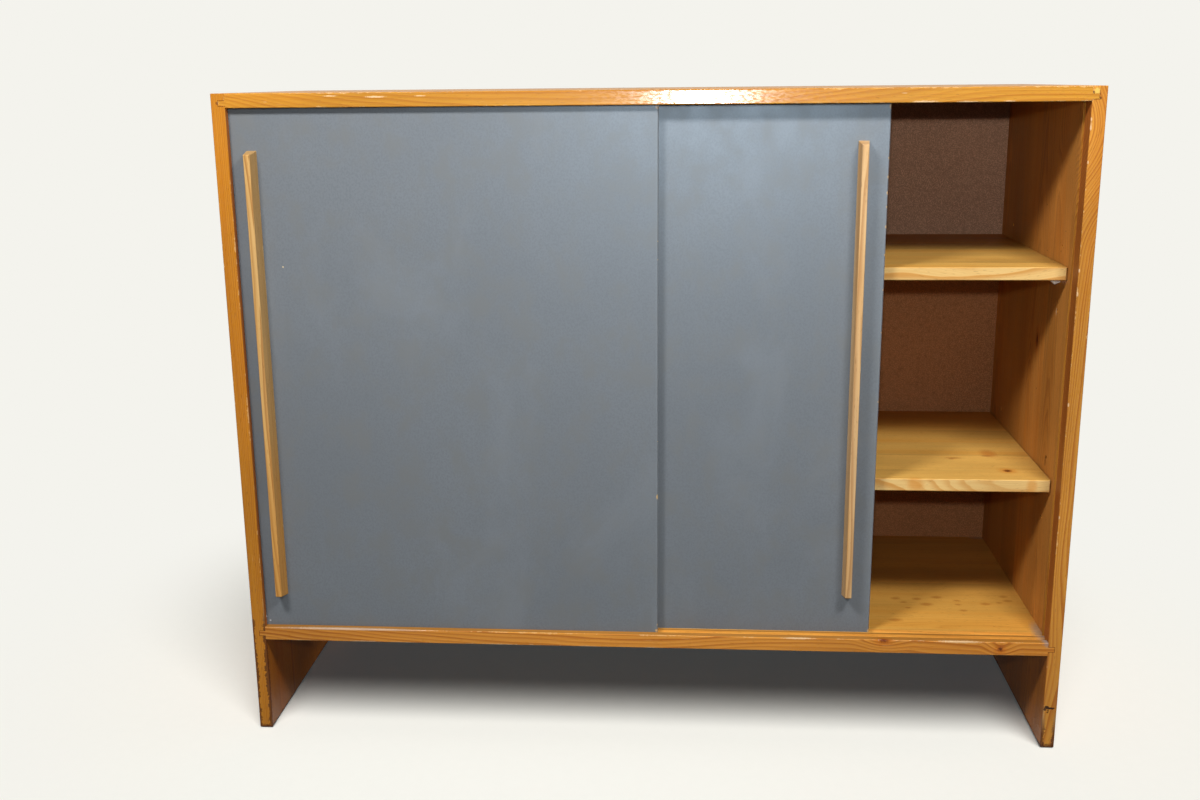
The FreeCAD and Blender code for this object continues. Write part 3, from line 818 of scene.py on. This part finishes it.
def placed(name: str, shape: bmesh.types.BMesh) -> bpy.types.Object:
    """Makes an object at the origin of a finished bmesh.

    Args:
        name: The object's name.
        shape: Its shape, in place.

    Returns:
        The object.
    """
    mesh = bpy.data.meshes.new(name)
    mesh.from_pydata(*in_order(shape))
    shape.free()
    piece = bpy.data.objects.new(name, mesh)
    bpy.context.scene.collection.objects.link(piece)
    return piece


def mesh_piece(name: str, shape: bmesh.types.BMesh, body: str, replaced: str) -> bpy.types.Object:
    """Makes an object of a finished bmesh and hangs it on its body.

    Args:
        name: The piece's name.
        shape: Its shape, in place.
        body: The body that it moves with.
        replaced: The CAD node that it stands for.

    Returns:
        The piece.
    """
    bmesh.ops.recalc_face_normals(shape, faces=shape.faces)
    piece = placed(name, shape)
    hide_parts(replaced)
    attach(piece, body)
    return piece


def corners(node: str) -> tuple[Point, Point]:
    """Gives the lowest and highest corner of a CAD node at rest."""
    low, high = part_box(node)
    return tuple(low), tuple(high)


@dataclass
class Case:
    """The carcase of two plank sides, top and bottom boards and the centre divider."""

    side_face: float = 0.5805
    front: float = -0.220
    floor: float = 0.168
    ceiling: float = 0.934
    tongue_bottoms: tuple[float, float] = (0.154, 0.937)
    pieces: list[str] = field(default_factory=list)
    early: Colour = shade(200, 132, 38)
    late: Colour = shade(158, 86, 20)
    inner_early: Colour = shade(212, 143, 66)
    inner_late: Colour = shade(162, 98, 48)

    def board(self, node: str, grain: Grain, seed: float, **more: object) -> None:
        """Dresses one board of the carcase.

        Args:
            node: The board's CAD node.
            grain: Which way its fibres run.
            seed: What makes its grain its own.
            more: Other sizes and colours of the finish.
        """
        low, high = corners(node)
        look = {"early": self.early, "late": self.late, "inner_early": self.inner_early,
                "inner_late": self.inner_late, **more}
        dress(frame["nodes"][node], Pine(f"pine_{node}", low, high, grain, seed, **look))
        self.pieces.append(node)

    def tongue_lines(self, side: float) -> tuple[Patch, ...]:
        """Thin dark lines round the tongues' ends in a side's front edge.

        Args:
            side: -1 for the left side, 1 for the right one.

        Returns:
            The lines.
        """
        ends = sorted((side * (self.side_face - 0.0004), side * (self.side_face + 0.0098)))
        return tuple(Patch(*block(*ends, back=self.front + 0.006, bottom=low - 0.0008, top=low + 0.0078),
                           (0.34, 0.24, 0.16), 0.9, 0.0002) for low in self.tongue_bottoms)

    def along_front(self, rows: tuple[Point, ...], grown: float, *look: object) -> tuple[Spot, ...]:
        """Puts a row of like marks on the front edges.

        Args:
            rows: Each mark's x, z and size.
            grown: How many times its size each mark's radius is.
            look: What a spot takes after its radius.

        Returns:
            The marks.
        """
        return tuple(Spot((x, self.front, z), size * grown, *look) for x, z, size in rows)

    def left_marks(self) -> tuple[Spot, ...]:
        """Dents along the outer edge of the left side and dirt along its leg.

        Returns:
            The marks.
        """
        dents = ((-0.5977, 0.1741, 0.0026), (-0.5997, 0.1381, 0.0028), (-0.5999, 0.052, 0.0024))
        chips = ((-0.5808, 0.131, 0.0016), (-0.5806, 0.106, 0.0018), (-0.5805, 0.049, 0.0018))
        return (*self.along_front(dents + chips, 1.0, shade(96, 50, 22), 0.75, (1.0, 1.0, 0.4), 1.4),
                Spot((-0.5907, self.front, 0.9407), 0.0022, shade(120, 66, 24), 0.8),
                Spot((-0.5903, self.front, 0.0), 0.006, shade(96, 52, 20), 0.7, (0.35, 0.3, 1.0), 0.8))

    def right_marks(self) -> tuple[Spot, ...]:
        """Chips, a crack and nail marks on the right side.

        Returns:
            The marks.
        """
        front, face = self.front, self.side_face
        pale, dark = shade(232, 194, 150), shade(78, 40, 16)
        chips = ((0.911, 0.0011), (0.9, 0.0014), (0.8553, 0.001), (0.7113, 0.0011), (0.6793, 0.0014),
                 (0.5245, 0.0012), (0.36, 0.001))
        nails = ((-0.041, 0.783), (-0.147, 0.756), (-0.059, 0.718), (-0.13, 0.726), (-0.056, 0.509),
                 (-0.129, 0.331))
        crack = ((0.5822, 0.062, 0.0014), (0.5836, 0.0645, 0.0016), (0.585, 0.0668, 0.0017),
                 (0.5864, 0.0664, 0.0014), (0.5876, 0.0638, 0.0013), (0.5893, 0.0644, 0.0014),
                 (0.5912, 0.0648, 0.0016), (0.5932, 0.0642, 0.0014), (0.5874, 0.0605, 0.001),
                 (0.5868, 0.0578, 0.0009), (0.5952, 0.065, 0.001))
        return (*(Spot((face + 0.0009, front + 0.0004, z), size, pale, 0.7, (1.0, 1.0, 0.45))
                  for z, size in chips),
                *(Spot((face, y, z), 0.0012, dark, 0.85) for y, z in nails),
                *self.along_front(crack, 1.3, shade(48, 26, 14), 0.9, (0.8, 1.0, 1.2), 1.2),
                Spot((0.586, front, 0.9472), 0.0034, shade(228, 192, 96), 0.85, (1.0, 1.0, 0.8), 1.0, 0.4),
                Spot((0.5815, front, 0.946), 0.0016, dark, 0.7),
                Spot((0.5908, front, 0.938), 0.0018, dark, 0.7),
                Spot((face, -0.131, 0.418), 0.0028, dark, 0.7, (1.0, 1.0, 0.35)),
                Spot((face, -0.129, 0.6395), 0.0022, pale, 0.7, (1.0, 1.0, 0.4)),
                Spot((face, -0.191, 0.5275), 0.0026, shade(236, 180, 90), 0.8, (1.0, 1.0, 0.3)),
                Spot((0.5903, front, 0.0), 0.007, dark, 0.7, (0.35, 0.3, 1.0), 0.8))

    def top_marks(self) -> tuple[Spot, ...]:
        """Pale scratches along the top board's front edge.

        Returns:
            The scratches.
        """
        lines = ((-0.5235, 0.9421, 0.004), (-0.4327, 0.9494, 0.014), (-0.3706, 0.9478, 0.02),
                 (-0.3088, 0.9486, 0.012), (-0.0043, 0.9457, 0.008), (0.3385, 0.9466, 0.006),
                 (0.365, 0.9352, 0.024), (0.42, 0.9346, 0.02), (0.475, 0.9352, 0.012))
        return self.along_front(lines, 0.6, shade(246, 220, 176), 0.6, (1.0, 8.0, 11.0), 1.6, 0.4)

    def floor_marks(self) -> tuple[Spot, ...]:
        """Brown stains, dust and scratches on the bottom board.

        Returns:
            The marks.
        """
        stains = ((0.395, -0.077), (0.418, -0.063), (0.385, -0.062), (0.429, -0.084), (0.399, -0.099),
                  (0.479, -0.067), (0.478, -0.083), (0.482, -0.106), (0.521, -0.079), (0.543, -0.073),
                  (0.558, -0.065), (0.555, -0.048), (0.372, -0.147), (0.45, -0.055))
        worn = ((-0.5278, 0.1472, 0.02), (-0.43, 0.1476, 0.03), (-0.3742, 0.1473, 0.024),
                (-0.2223, 0.1474, 0.03), (-0.09, 0.1476, 0.02), (0.0024, 0.1478, 0.014),
                (0.4541, 0.1672, 0.04), (0.22, 0.1674, 0.03))
        dusty = ((0.5805, -0.179, 0.012, 0.5, (1.0, 0.4, 1.0)),
                 (0.5805, -0.2138, 0.007, 0.6, (1.0, 0.6, 1.0)),
                 (0.5762, 0.2287, 0.012, 0.4, (0.6, 1.0, 1.0)))
        brown, dust = shade(164, 90, 24), shade(150, 146, 144)
        return (*(Spot((x, y, self.floor), 0.0042 + 0.0016 * math.sin(x * 90), brown, 0.5,
                       (0.6, 1.0, 1.0), 1.5, 0.6) for x, y in stains),
                *self.along_front(worn, 0.7, shade(240, 214, 170), 0.55, (1.0, 9.0, 16.0), 1.4, 0.4),
                *(Spot((x, y, self.floor), size, dust, strength, stretch, 0.9, 0.5)
                  for x, y, size, strength, stretch in dusty),
                Spot((-0.45, self.front, self.floor - 0.0008), 0.09, shade(214, 206, 190), 0.45,
                     (0.9, 20.0, 60.0), 0.9, 0.5))

    def build(self) -> None:
        """Dresses the sides, boards and divider."""
        face, front, floor = self.side_face, self.front, self.floor
        inner, lap_end = face + SOFT, face + 0.0093
        sides = (Zone(*block(-inner, inner, front + 0.001, bottom=floor - 0.002)),)
        # Painted shade: the inner faces of the legs below the bottom board are darker.
        leg_shade = Patch(*block(-inner, inner, top=floor - 0.002), (0.72, 0.56, 0.42), 0.95)
        # The strip of the sides' inner faces in front of the rear door's groove is darker: partly the stained
        # lipping, partly painted shade of the doors.
        strip = Patch(*block(-inner, inner, front + 0.0012, front + 0.0265, floor, self.ceiling),
                      (0.74, 0.54, 0.46), 0.9)
        # Painted highlight: the arris of the right side's groove for the rear door is made much paler, as if
        # it caught the light.
        painted_arris_highlight = Patch(*block(face - 0.001, inner, front + 0.0255, front + 0.028, floor), (3.2, 3.4, 3.8), 0.9)
        lap = Patch(*block(face, lap_end, back=front + 0.004, bottom=0.944), (1.2, 1.22, 1.2), 0.9)
        end = Patch(*block(lap_end, face + 0.0101, back=front + 0.004, bottom=0.9435, top=0.952),
                    (0.5, 0.4, 0.3), 0.8, 0.0003)
        self.board("side_left", Grain.UPRIGHT, 3.0, inside=sides,
                   tints=(leg_shade, strip, *self.tongue_lines(-1.0)), dirty=(Zone(*block(top=0.2), 0.04),),
                   tilt=0.002, wander=0.3, ring=0.0024, outer_ring=0.55, spots=self.left_marks())
        self.board("side_right", Grain.UPRIGHT, 8.0, inside=sides,
                   tints=(leg_shade, strip, painted_arris_highlight, lap, end, *self.tongue_lines(1.0)),
                   dirty=(Zone(*block(top=0.05), 0.03),), tilt=-0.04, spots=self.right_marks(),
                   early=shade(212, 146, 58), late=shade(174, 102, 36),
                   knots=(Knot((0.61, front, 0.9), 0.0, 0.17, 0.06, (1.0, 1.0, 1.0)),
                          Knot((face, -0.04, 0.58), 0.007, 0.05, 0.014, (1.0, 1.0, 0.5))))
        under = Zone(*block(front=front + 0.001, top=self.ceiling + 0.0003))
        self.board("top_board", Grain.ALONG, 5.0, inside=(under,), early=shade(200, 141, 46),
                   late=shade(168, 100, 26), outer_ring=0.6, spots=self.top_marks())
        track_floor = floor - 0.0045
        above = Zone(*block(front=front + 0.0008, bottom=track_floor))
        front_strip = Patch(*block(front=front + 0.0008, back=front + 0.0245, bottom=floor - 0.0005),
                            (0.5, 0.4, 0.36), 0.9)
        track = Patch(*block(front=front + 0.0255, back=front + 0.0365, bottom=track_floor),
                      (1.2, 1.25, 1.4), 0.9)
        # Painted shade: the back part of the bottom board is darker and redder, where shade falls under the
        # lower shelf.
        back_shade = Patch(*block(front=0.02, bottom=track_floor), (0.8, 0.6, 0.62), 0.9, 0.1)
        self.board("bottom_board", Grain.ALONG, 12.0, inside=(above,), tints=(front_strip, track, back_shade),
                   early=shade(214, 144, 58), late=shade(158, 86, 24), inner_early=shade(226, 170, 80),
                   inner_late=shade(196, 130, 50), spots=self.floor_marks(),
                   knots=(Knot((0.5126, front, 0.1569), 0.0046, stretch=(0.9, 1.0, 1.0)),
                          Knot((0.3445, front, 0.1672), 0.005, eye=shade(116, 54, 24))))
        self.board("centre_divider", Grain.UPRIGHT, 21.0, early=self.inner_early, late=self.inner_late,
                   outer_ring=0.5, coat=0.03)
        LOG.info("carcase: %s", ", ".join(self.pieces))


@dataclass
class Back:
    """The hardboard back and the wire staples that hold it."""

    def build(self) -> None:
        """Dresses the panel and the staples."""
        dress(frame["nodes"]["back_panel"], Hardboard("hardboard_back", 4.0))
        dress(frame["nodes"]["back_staples"],
              Metal("staple_wire", 2.0, shade(190, 188, 180), shade(120, 104, 86)))
        LOG.info("back: back_panel, back_staples")


@dataclass
class Shelf:
    """One loose shelf with the four pins that it lies on."""

    bay: str
    level: str
    seed: float
    head_length: float = 0.013
    head_width: float = 0.009
    neck_drop: float = 0.004
    belly_drop: float = 0.007
    belly_at: float = 0.008
    nose_drop: float = 0.0025
    axis_drop: float = 0.0035
    shank: float = 0.0024
    shank_length: float = 0.008
    shank_sides: int = 20
    shank_lap: float = 0.0005
    rounding: float = 0.0007
    columns: tuple[float, float] = (-0.135, 0.152)
    tones: tuple[Colour, ...] = (shade(238, 200, 130), shade(210, 150, 76), shade(240, 190, 98),
                                 shade(202, 134, 54))
    # Below 1 it is painted shade: the shelf's colours are darkened to offset the stronger light near the top.
    light: float = 1.0
    # Painted shade: from here back, the shelf's colour is darker, where the shelf above shades it.
    back_shade_from: float = 0.1
    knots: tuple[Knot, ...] = ()
    spots: tuple[Spot, ...] = ()

    def pin(self, shape: bmesh.types.BMesh, wall: float, facing: float, y: float, top: float) -> None:
        """Adds one pin with its round shank and its bracket.

        Args:
            shape: The bmesh that it goes into.
            wall: Where its wall's face is along X.
            facing: 1 where it points to +X, else -1.
            y: Where its middle is along Y.
            top: The height of the shelf's underside.
        """
        axis = top - self.axis_drop
        outline = ((0.0, top), (self.head_length, top), (self.head_length, axis - self.nose_drop),
                   (self.belly_at, axis - self.belly_drop), (0.0, axis - self.neck_drop))
        ring = [shape.verts.new((wall + facing * out, y - self.head_width / 2, z)) for out, z in outline]
        face = shape.faces.new(ring)
        grown = bmesh.ops.extrude_face_region(shape, geom=[face])["geom"]
        moved = [g for g in grown if isinstance(g, bmesh.types.BMVert)]
        bmesh.ops.translate(shape, verts=moved, vec=(0.0, self.head_width, 0.0))
        edges = dict.fromkeys(edge for vert in ring + moved for edge in vert.link_edges)
        bmesh.ops.bevel(shape, geom=list(edges), offset=self.rounding, segments=3, profile=0.5,
                        affect="EDGES", material=-1)
        middle = wall - facing * (self.shank_length / 2 - self.shank_lap)
        bmesh.ops.create_cone(
            shape, cap_ends=True, segments=self.shank_sides, radius1=self.shank, radius2=self.shank,
            depth=self.shank_length - 2 * self.shank_lap,
            matrix=Matrix.Translation((middle, y, axis)) @ Matrix.Rotation(math.pi / 2, 4, "Y"),
        )

    def build(self) -> None:
        """Dresses the shelf and builds its pins."""
        node = f"shelf_{self.bay}_{self.level}"
        low, high = corners(node)
        dress(frame["nodes"][node], Pine(
            f"pine_{node}", low, high, Grain.ALONG, self.seed,
            *(scaled(tone, self.light) for tone in self.tones),
            wear=0.3, coat=0.04, tilt=0.02, stave=0.075, band=0.6, inner_ring=0.55,
            inside=(Zone(*block(front=low[1] + 0.0008)),), knots=self.knots, spots=self.spots,
            # Painted shade over the back part of the shelf.
            tints=(Patch(*block(front=self.back_shade_from), (0.7, 0.46, 0.26), 0.9, 0.1),),
        ))
        pins = f"pins_{self.bay}_{self.level}"
        box_low, box_high = corners(pins)
        shape = bmesh.new()
        for y in self.columns:
            self.pin(shape, box_low[0] + self.shank_length, 1.0, y, box_high[2])
            self.pin(shape, box_high[0] - self.shank_length, -1.0, y, box_high[2])
        piece = mesh_piece(f"shelf_{pins}", shape, "carcase", pins)
        dress(piece, Metal(f"metal_{pins}", self.seed, shade(244, 242, 236), shade(214, 210, 198),
                           metallic=0.45, rough=0.26))
        LOG.info("shelf: %s, %s", node, piece.name)


@dataclass
class SlidingDoor:
    """A painted door with its wooden handle strip and the screws that hold it."""

    side: str
    seed: float
    face_width: float = 0.009
    end_taper: float = 0.004
    rounding: float = 0.0011
    head_radius: float = 0.0038
    head_thickness: float = 0.0022
    shank_radius: float = 0.0019
    head_sides: int = 28
    shank_sides: int = 16
    slot_half: float = 0.0005
    slot_depth: float = 0.0009
    slot_lean: float = 0.25
    pale: Colour = shade(222, 180, 116)
    dark: Colour = shade(168, 116, 60)
    spots: tuple[Spot, ...] = ()
    handle_tints: tuple[Patch, ...] = ()

    @property
    def body(self) -> str:
        """The body that the door moves with."""
        return f"{self.side}_door"

    def handle(self) -> bpy.types.Object:
        """Builds the handle strip, tapered to its face and softened along its edges.

        Returns:
            The handle.
        """
        low, high = corners(f"handle_{self.side}")
        size = Vector(high) - Vector(low)
        middle = (Vector(high) + Vector(low)) / 2
        shape = bmesh.new()
        bmesh.ops.create_cube(shape, size=1.0)
        bmesh.ops.scale(shape, vec=size, verts=shape.verts)
        face = [vert for vert in shape.verts if vert.co.y < 0]
        taper = (self.face_width / size.x, 1.0, 1.0 - 2 * self.end_taper / size.z)
        bmesh.ops.scale(shape, vec=taper, verts=face)
        bmesh.ops.translate(shape, vec=middle, verts=shape.verts)
        edges = [edge for edge in shape.edges if any(vert.co.y < middle.y for vert in edge.verts)]
        bmesh.ops.bevel(shape, geom=edges, offset=self.rounding, segments=3, profile=0.5, affect="EDGES",
                        material=-1)
        piece = mesh_piece(f"handle_strip_{self.side}", shape, self.body, f"handle_{self.side}")
        dress(piece, Pine(
            f"handle_wood_{self.side}", low, high, Grain.UPRIGHT, self.seed + 30, self.pale, self.dark,
            self.pale, self.dark, wear=0.3, ring=0.0019, coat=0.1, stave=0.4, worn=shade(244, 220, 170),
            tints=self.handle_tints, outer_ring=0.85, band=0.8, tilt=0.006, wander=0.35,
        ))
        return piece

    def screws(self) -> bpy.types.Object:
        """Builds the slotted screws that come through from the door's rear face.

        Returns:
            The screws.
        """
        low, high = corners(f"screws_handle_{self.side}")
        shape = bmesh.new()
        turn = Matrix.Rotation(-math.pi / 2, 4, "X")
        x, rear = (low[0] + high[0]) / 2, high[1]
        length = rear - self.head_thickness - low[1]
        across = Vector((self.slot_lean, 0.0, 1.0)).normalized()
        for z in (low[2] + self.head_radius, high[2] - self.head_radius):
            head = bmesh.ops.create_cone(
                shape, cap_ends=True, segments=self.head_sides, radius1=self.head_radius,
                radius2=self.head_radius * 0.9, depth=self.head_thickness,
                matrix=Matrix.Translation((x, rear - self.head_thickness / 2, z)) @ turn,
            )
            verts = list(head["verts"])
            for side in (-1.0, 1.0):
                geom = [g for v in verts for g in (v, *v.link_edges, *v.link_faces)]
                cut = bmesh.ops.bisect_plane(
                    shape, geom=list(dict.fromkeys(geom)), plane_co=(x, rear, z + side * self.slot_half),
                    plane_no=(self.slot_lean, 0.0, side),
                )
                verts += [g for g in cut["geom_cut"] if isinstance(g, bmesh.types.BMVert)]
            middle = Vector((x, rear, z))
            slot = []
            for f in dict.fromkeys(f for v in verts for f in v.link_faces):
                away = f.calc_center_median() - middle
                if abs(away.y) < 1e-5 and abs(away.dot(across)) < self.slot_half * 0.9:
                    slot.append(f)
            grown = bmesh.ops.extrude_face_region(shape, geom=slot)["geom"]
            bmesh.ops.delete(shape, geom=slot, context="FACES")
            sunk = [g for g in grown if isinstance(g, bmesh.types.BMVert)]
            bmesh.ops.translate(shape, verts=sunk, vec=(0.0, -self.slot_depth, 0.0))
            bmesh.ops.create_cone(
                shape, cap_ends=True, segments=self.shank_sides, radius1=self.shank_radius,
                radius2=self.shank_radius, depth=length,
                matrix=Matrix.Translation((x, low[1] + length / 2, z)) @ turn,
            )
        piece = mesh_piece(f"handle_screws_{self.side}", shape, self.body,
                           f"screws_handle_{self.side}")
        dress(piece, Metal(f"screw_steel_{self.side}", self.seed, shade(200, 196, 186),
                           shade(140, 128, 108)))
        return piece

    def build(self) -> None:
        """Dresses the door and builds its handle and screws."""
        node = f"door_{self.side}"
        low, high = corners(node)
        dress(frame["nodes"][node], GreyPaint(f"grey_{node}", low, high, self.seed, spots=self.spots))
        LOG.info("door: %s, %s, %s", node, self.handle().name, self.screws().name)


@dataclass(frozen=True)
class Lamp:
    """A lamp: where it hangs, what it points at, and the pieces that it lights, all but the floor if none."""

    name: str
    place: Point
    target: Point
    energy: float
    width: float
    height: float = 0.0
    colour: Colour = (1.0, 1.0, 1.0)
    kind: str = "AREA"
    only: tuple[str, ...] = ()
    is_diffuse: bool = True
    is_mirrored: bool = True


@dataclass
class Studio:
    """The floor, the lights, the world and the camera around the cabinet."""

    background: Colour = shade(244, 243, 237)
    flash_level: float = 0.235
    flash_distance: float = 1.79
    fill_distance: float = 3.8
    ambient: float = 0.03
    floor_colours: tuple[Colour, Colour] = ((0.93, 0.915, 0.845), (0.95, 0.935, 0.865))
    floor_bounced: Colour = (0.12, 0.12, 0.12)
    floor_glow: Colour = (0.0215, 0.0325, 0.038)
    fade: tuple[float, float] = (0.75, 1.35)
    eye: Point = (0.06055, -1.99146, 0.96773)
    yaw: float = -4.168
    pitch: float = -13.957
    roll: float = -0.554
    lens: float = 38.69
    sensor: float = 36.0
    nearest: float = 0.01
    ground: Union[bpy.types.Object, None] = None

    def floor(self) -> None:
        """Lays a pale floor that keeps the cabinet's shadow and fades into the background."""
        shape = bmesh.new()
        bmesh.ops.create_grid(shape, x_segments=1, y_segments=1, size=FAR)
        self.ground = placed("studio_floor", shape)
        w = Bench("studio_floor")
        pale = w.blend(w.noise(w.place, 60.0, 3.0), *self.floor_colours)
        w.surface(Base_Color=w.blend(w.fed("LightPath")["Is Diffuse Ray"], pale, self.floor_bounced),
                  Roughness=0.9, Specular_IOR_Level=0.1, Emission_Color=self.floor_glow,
                  Emission_Strength=1.0)
        far = w.vector("LENGTH", w.vector("MULTIPLY", w.place, (1.0, 1.3, 0.0)))
        faded = w.times(w.seen(), w.span(far, *self.fade))
        w.feed(w.tree.nodes["Material Output"].inputs["Surface"],
               w.mix(faded, w.shader.outputs[0], w.fed("Emission", self.background)[0]))
        self.ground.data.materials.append(w.material)

    def world(self) -> None:
        """Sets a plain pale world that lights softly and shows the background."""
        world = bpy.data.worlds.new("studio_world")
        bpy.context.scene.world = world
        world.use_nodes = True
        w = Wiring(world.node_tree)
        world.node_tree.nodes.clear()
        dim = w.fed("Background", (1.0, 1.0, 1.0), self.ambient)[0]
        w.fed("OutputWorld", w.mix(w.seen(), dim, w.fed("Background", self.background)[0]))

    def hang(self, lamp: Lamp) -> None:
        """Hangs a lamp and links its light to its pieces.

        Args:
            lamp: The lamp.
        """
        data = bpy.data.lights.new(lamp.name, lamp.kind)
        data.energy, data.color = lamp.energy, lamp.colour
        if lamp.kind == "SUN":
            data.angle = lamp.width
        else:
            data.shape, data.size = "RECTANGLE" if lamp.height else "DISK", lamp.width
            data.size_y = lamp.height or lamp.width
        hung = bpy.data.objects.new(lamp.name, data)
        place = Vector(lamp.place)
        turn = (Vector(lamp.target) - place).to_track_quat("-Z", "Y").to_matrix().to_4x4()
        hung.matrix_world = Matrix.Translation(place) @ turn
        hung.visible_diffuse, hung.visible_glossy = lamp.is_diffuse, lamp.is_mirrored
        bpy.context.scene.collection.objects.link(hung)
        pieces = {self.ground.name: self.ground, **frame["nodes"]}
        lit = bpy.data.collections.new(f"{lamp.name}_lit")
        hung.light_linking.receiver_collection = lit
        for index, name in enumerate(lamp.only or (self.ground.name,)):
            lit.objects.link(pieces[name])
            lit.collection_objects[index].light_linking.link_state = "INCLUDE" if lamp.only else "EXCLUDE"

    def lamps(self) -> tuple[Lamp, ...]:
        """Gives the lamps for the cabinet and a softer one for the floor.

        Returns:
            Two softboxes, a flash above the camera, two mirrored glints, two fills behind and the
            floor's own light.
        """
        def power(level: float, distance: float) -> float:
            """The power that gives a level of light at a distance."""
            return level * (math.pi * distance) ** 2
        x, y, z = self.eye
        middle = (0.0, 0.0, 0.5)
        doors = ("door_left", "door_right")
        return (
            Lamp("softbox_left", (-0.75, -1.35, 1.9), (-0.225, -0.2, 0.4), 26.3, 0.45, 0.26),
            Lamp("softbox_right", (0.8, -1.35, 1.9), (0.24, -0.2, 0.4), 23.6, 0.45, 0.26),
            Lamp("beside_camera", (x, y, z + 0.11), middle, power(self.flash_level, self.flash_distance),
                 0.05),
            Lamp("sheen", (0.17, y, 1.14), (0.1, 0.0, 1.0), 66.0, 0.3, colour=(0.7, 0.96, 1.2), only=doors,
                 is_diffuse=False),
            Lamp("glint", (0.085, y, 0.925), (0.07, 0.0, 0.95), 48.0, 0.17, only=("top_board",),
                 is_diffuse=False),
            Lamp("rear_fill", (2.2, 2.8, 1.9), middle, power(0.45, self.fill_distance), 1.6,
                 is_mirrored=False),
            Lamp("side_fill", (-3.2, 1.5, 1.9), middle, power(0.3, self.fill_distance), 1.6,
                 is_mirrored=False),
            Lamp("floor_light", (0.11, -0.55, 1.38), middle, 1.06 * math.pi, 0.68, kind="SUN",
                 only=(self.ground.name,)),
        )

    def camera(self) -> None:
        """Sets the camera where the photograph was taken from."""
        yaw, pitch, roll = (math.radians(angle) for angle in (self.yaw, self.pitch, self.roll))
        ahead = Vector((math.sin(yaw) * math.cos(pitch), math.cos(yaw) * math.cos(pitch), math.sin(pitch)))
        level = Vector((math.cos(yaw), -math.sin(yaw), 0.0))
        above = level.cross(ahead)
        right = math.cos(roll) * level + math.sin(roll) * above
        up = -math.sin(roll) * level + math.cos(roll) * above
        data = bpy.data.cameras.new("photo_camera")
        data.lens, data.sensor_width, data.clip_start = self.lens, self.sensor, self.nearest
        camera = bpy.data.objects.new("photo_camera", data)
        turn = Matrix((right, up, -ahead)).transposed().to_4x4()
        camera.matrix_world = Matrix.Translation(self.eye) @ turn
        bpy.context.scene.collection.objects.link(camera)
        bpy.context.scene.camera = camera

    def build(self) -> None:
        """Sets up the whole studio."""
        bpy.context.scene.view_settings.view_transform = "Standard"
        self.floor()
        self.world()
        for lamp in self.lamps():
            self.hang(lamp)
        self.camera()
        LOG.info("studio: floor, world, lights and camera")


def shelves() -> tuple[Shelf, ...]:
    """Gives the four shelves, with the knots and marks of the two that show.

    Returns:
        The shelves.
    """
    tall, low = 0.709, 0.4
    orange, front = shade(214, 140, 52), -0.1725
    seen_low = (Spot((0.3874, front, low - 0.008), 0.009, orange, 0.55, (0.8, 1.0, 0.9), 0.5, 0.5),
                Spot((0.553, front, low - 0.009), 0.007, orange, 0.5, (1.0, 1.0, 0.7), 0.5, 0.5),
                Spot((0.52, -0.036, low), 0.009, shade(196, 112, 40), 0.55, (0.8, 0.5, 1.0), 1.6, 0.6),
                Spot((0.514, -0.05, low), 0.004, shade(150, 74, 30), 0.6, (0.5, 1.6, 1.0), 1.4, 0.5),
                Spot((0.4617, -0.063, low), 0.0065, shade(180, 100, 36), 0.5, (0.6, 1.4, 1.0), 1.6, 0.6),
                Spot((0.4577, -0.068, low), 0.0024, shade(140, 76, 34), 0.6, (0.6, 1.4, 1.0), 1.2, 0.5))
    return (
        # The upper shelves' light of 0.86 is painted shade.
        Shelf("left", "lower", 40.0), Shelf("left", "upper", 43.0, light=0.86),
        Shelf("right", "lower", 46.0, spots=seen_low,
              knots=(Knot((0.5284, -0.127, low), 0.0055, 0.05, 0.02, (0.7, 0.7, 1.0)),
                     Knot((0.47, -0.08, low), 0.0, 0.12, 0.02, (0.5, 1.0, 1.0)))),
        Shelf("right", "upper", 49.0, light=0.86,
              knots=(Knot((0.49, front, tall - 0.004), 0.0, 0.09, 0.02, (0.6, 0.6, 1.0)),)),
    )


def doors() -> tuple[SlidingDoor, SlidingDoor]:
    """Gives the two doors with the chips that show in their paint.

    Returns:
        The left and the right door.
    """
    bare, pale = shade(206, 172, 120), shade(200, 202, 204)
    front, rear = -0.209, -0.1935
    left = (Spot((0.0118, front, 0.9305), 0.0024, bare, 0.9),
            Spot((0.0128, front, 0.379), 0.0018, bare, 0.95, (1, 1, 0.5)),
            Spot((0.012, front, 0.1705), 0.0022, bare, 0.9),
            Spot((-0.5178, front, 0.7141), 0.0011, shade(214, 190, 150)),
            Spot((-0.5842, front, 0.187), 0.0012, pale), Spot((-0.581, front, 0.1807), 0.0014, pale),
            Spot((-0.575, front, 0.1744), 0.0012, pale))
    chips = ((0.9295, 0.0026), (0.8608, 0.0012), (0.8353, 0.0014), (0.8138, 0.0016), (0.7948, 0.0013),
             (0.7676, 0.0016), (0.729, 0.0012), (0.6803, 0.0012), (0.62, 0.001), (0.52, 0.0012),
             (0.1696, 0.0022))
    right = (*(Spot((0.3257, rear, z), size, bare, 0.9, (1, 1, 0.6)) for z, size in chips),)
    # Painted shade: the handles' upper parts are darker, to offset the stronger light there.
    upper = Patch(*block(bottom=0.55), (0.84, 0.84, 0.84), 1.0, 0.3)
    honey = (Patch(*block(top=0.45), (1.0, 0.8, 0.5), 0.9, 0.2), upper)
    return (SlidingDoor("left", 1.0, spots=left, handle_tints=honey),
            SlidingDoor("right", 2.0, spots=right, pale=shade(236, 198, 146), dark=shade(189, 140, 92),
                        handle_tints=(upper,)))


def main() -> None:
    """Builds the cabinet's looks and the studio."""
    logging.basicConfig(level=logging.INFO, format="%(name)s: %(message)s")
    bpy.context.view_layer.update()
    Case().build()
    Back().build()
    for shelf in shelves():
        shelf.build()
    for door in doors():
        door.build()
    Studio().build()


if __name__ == "__main__":
    main()
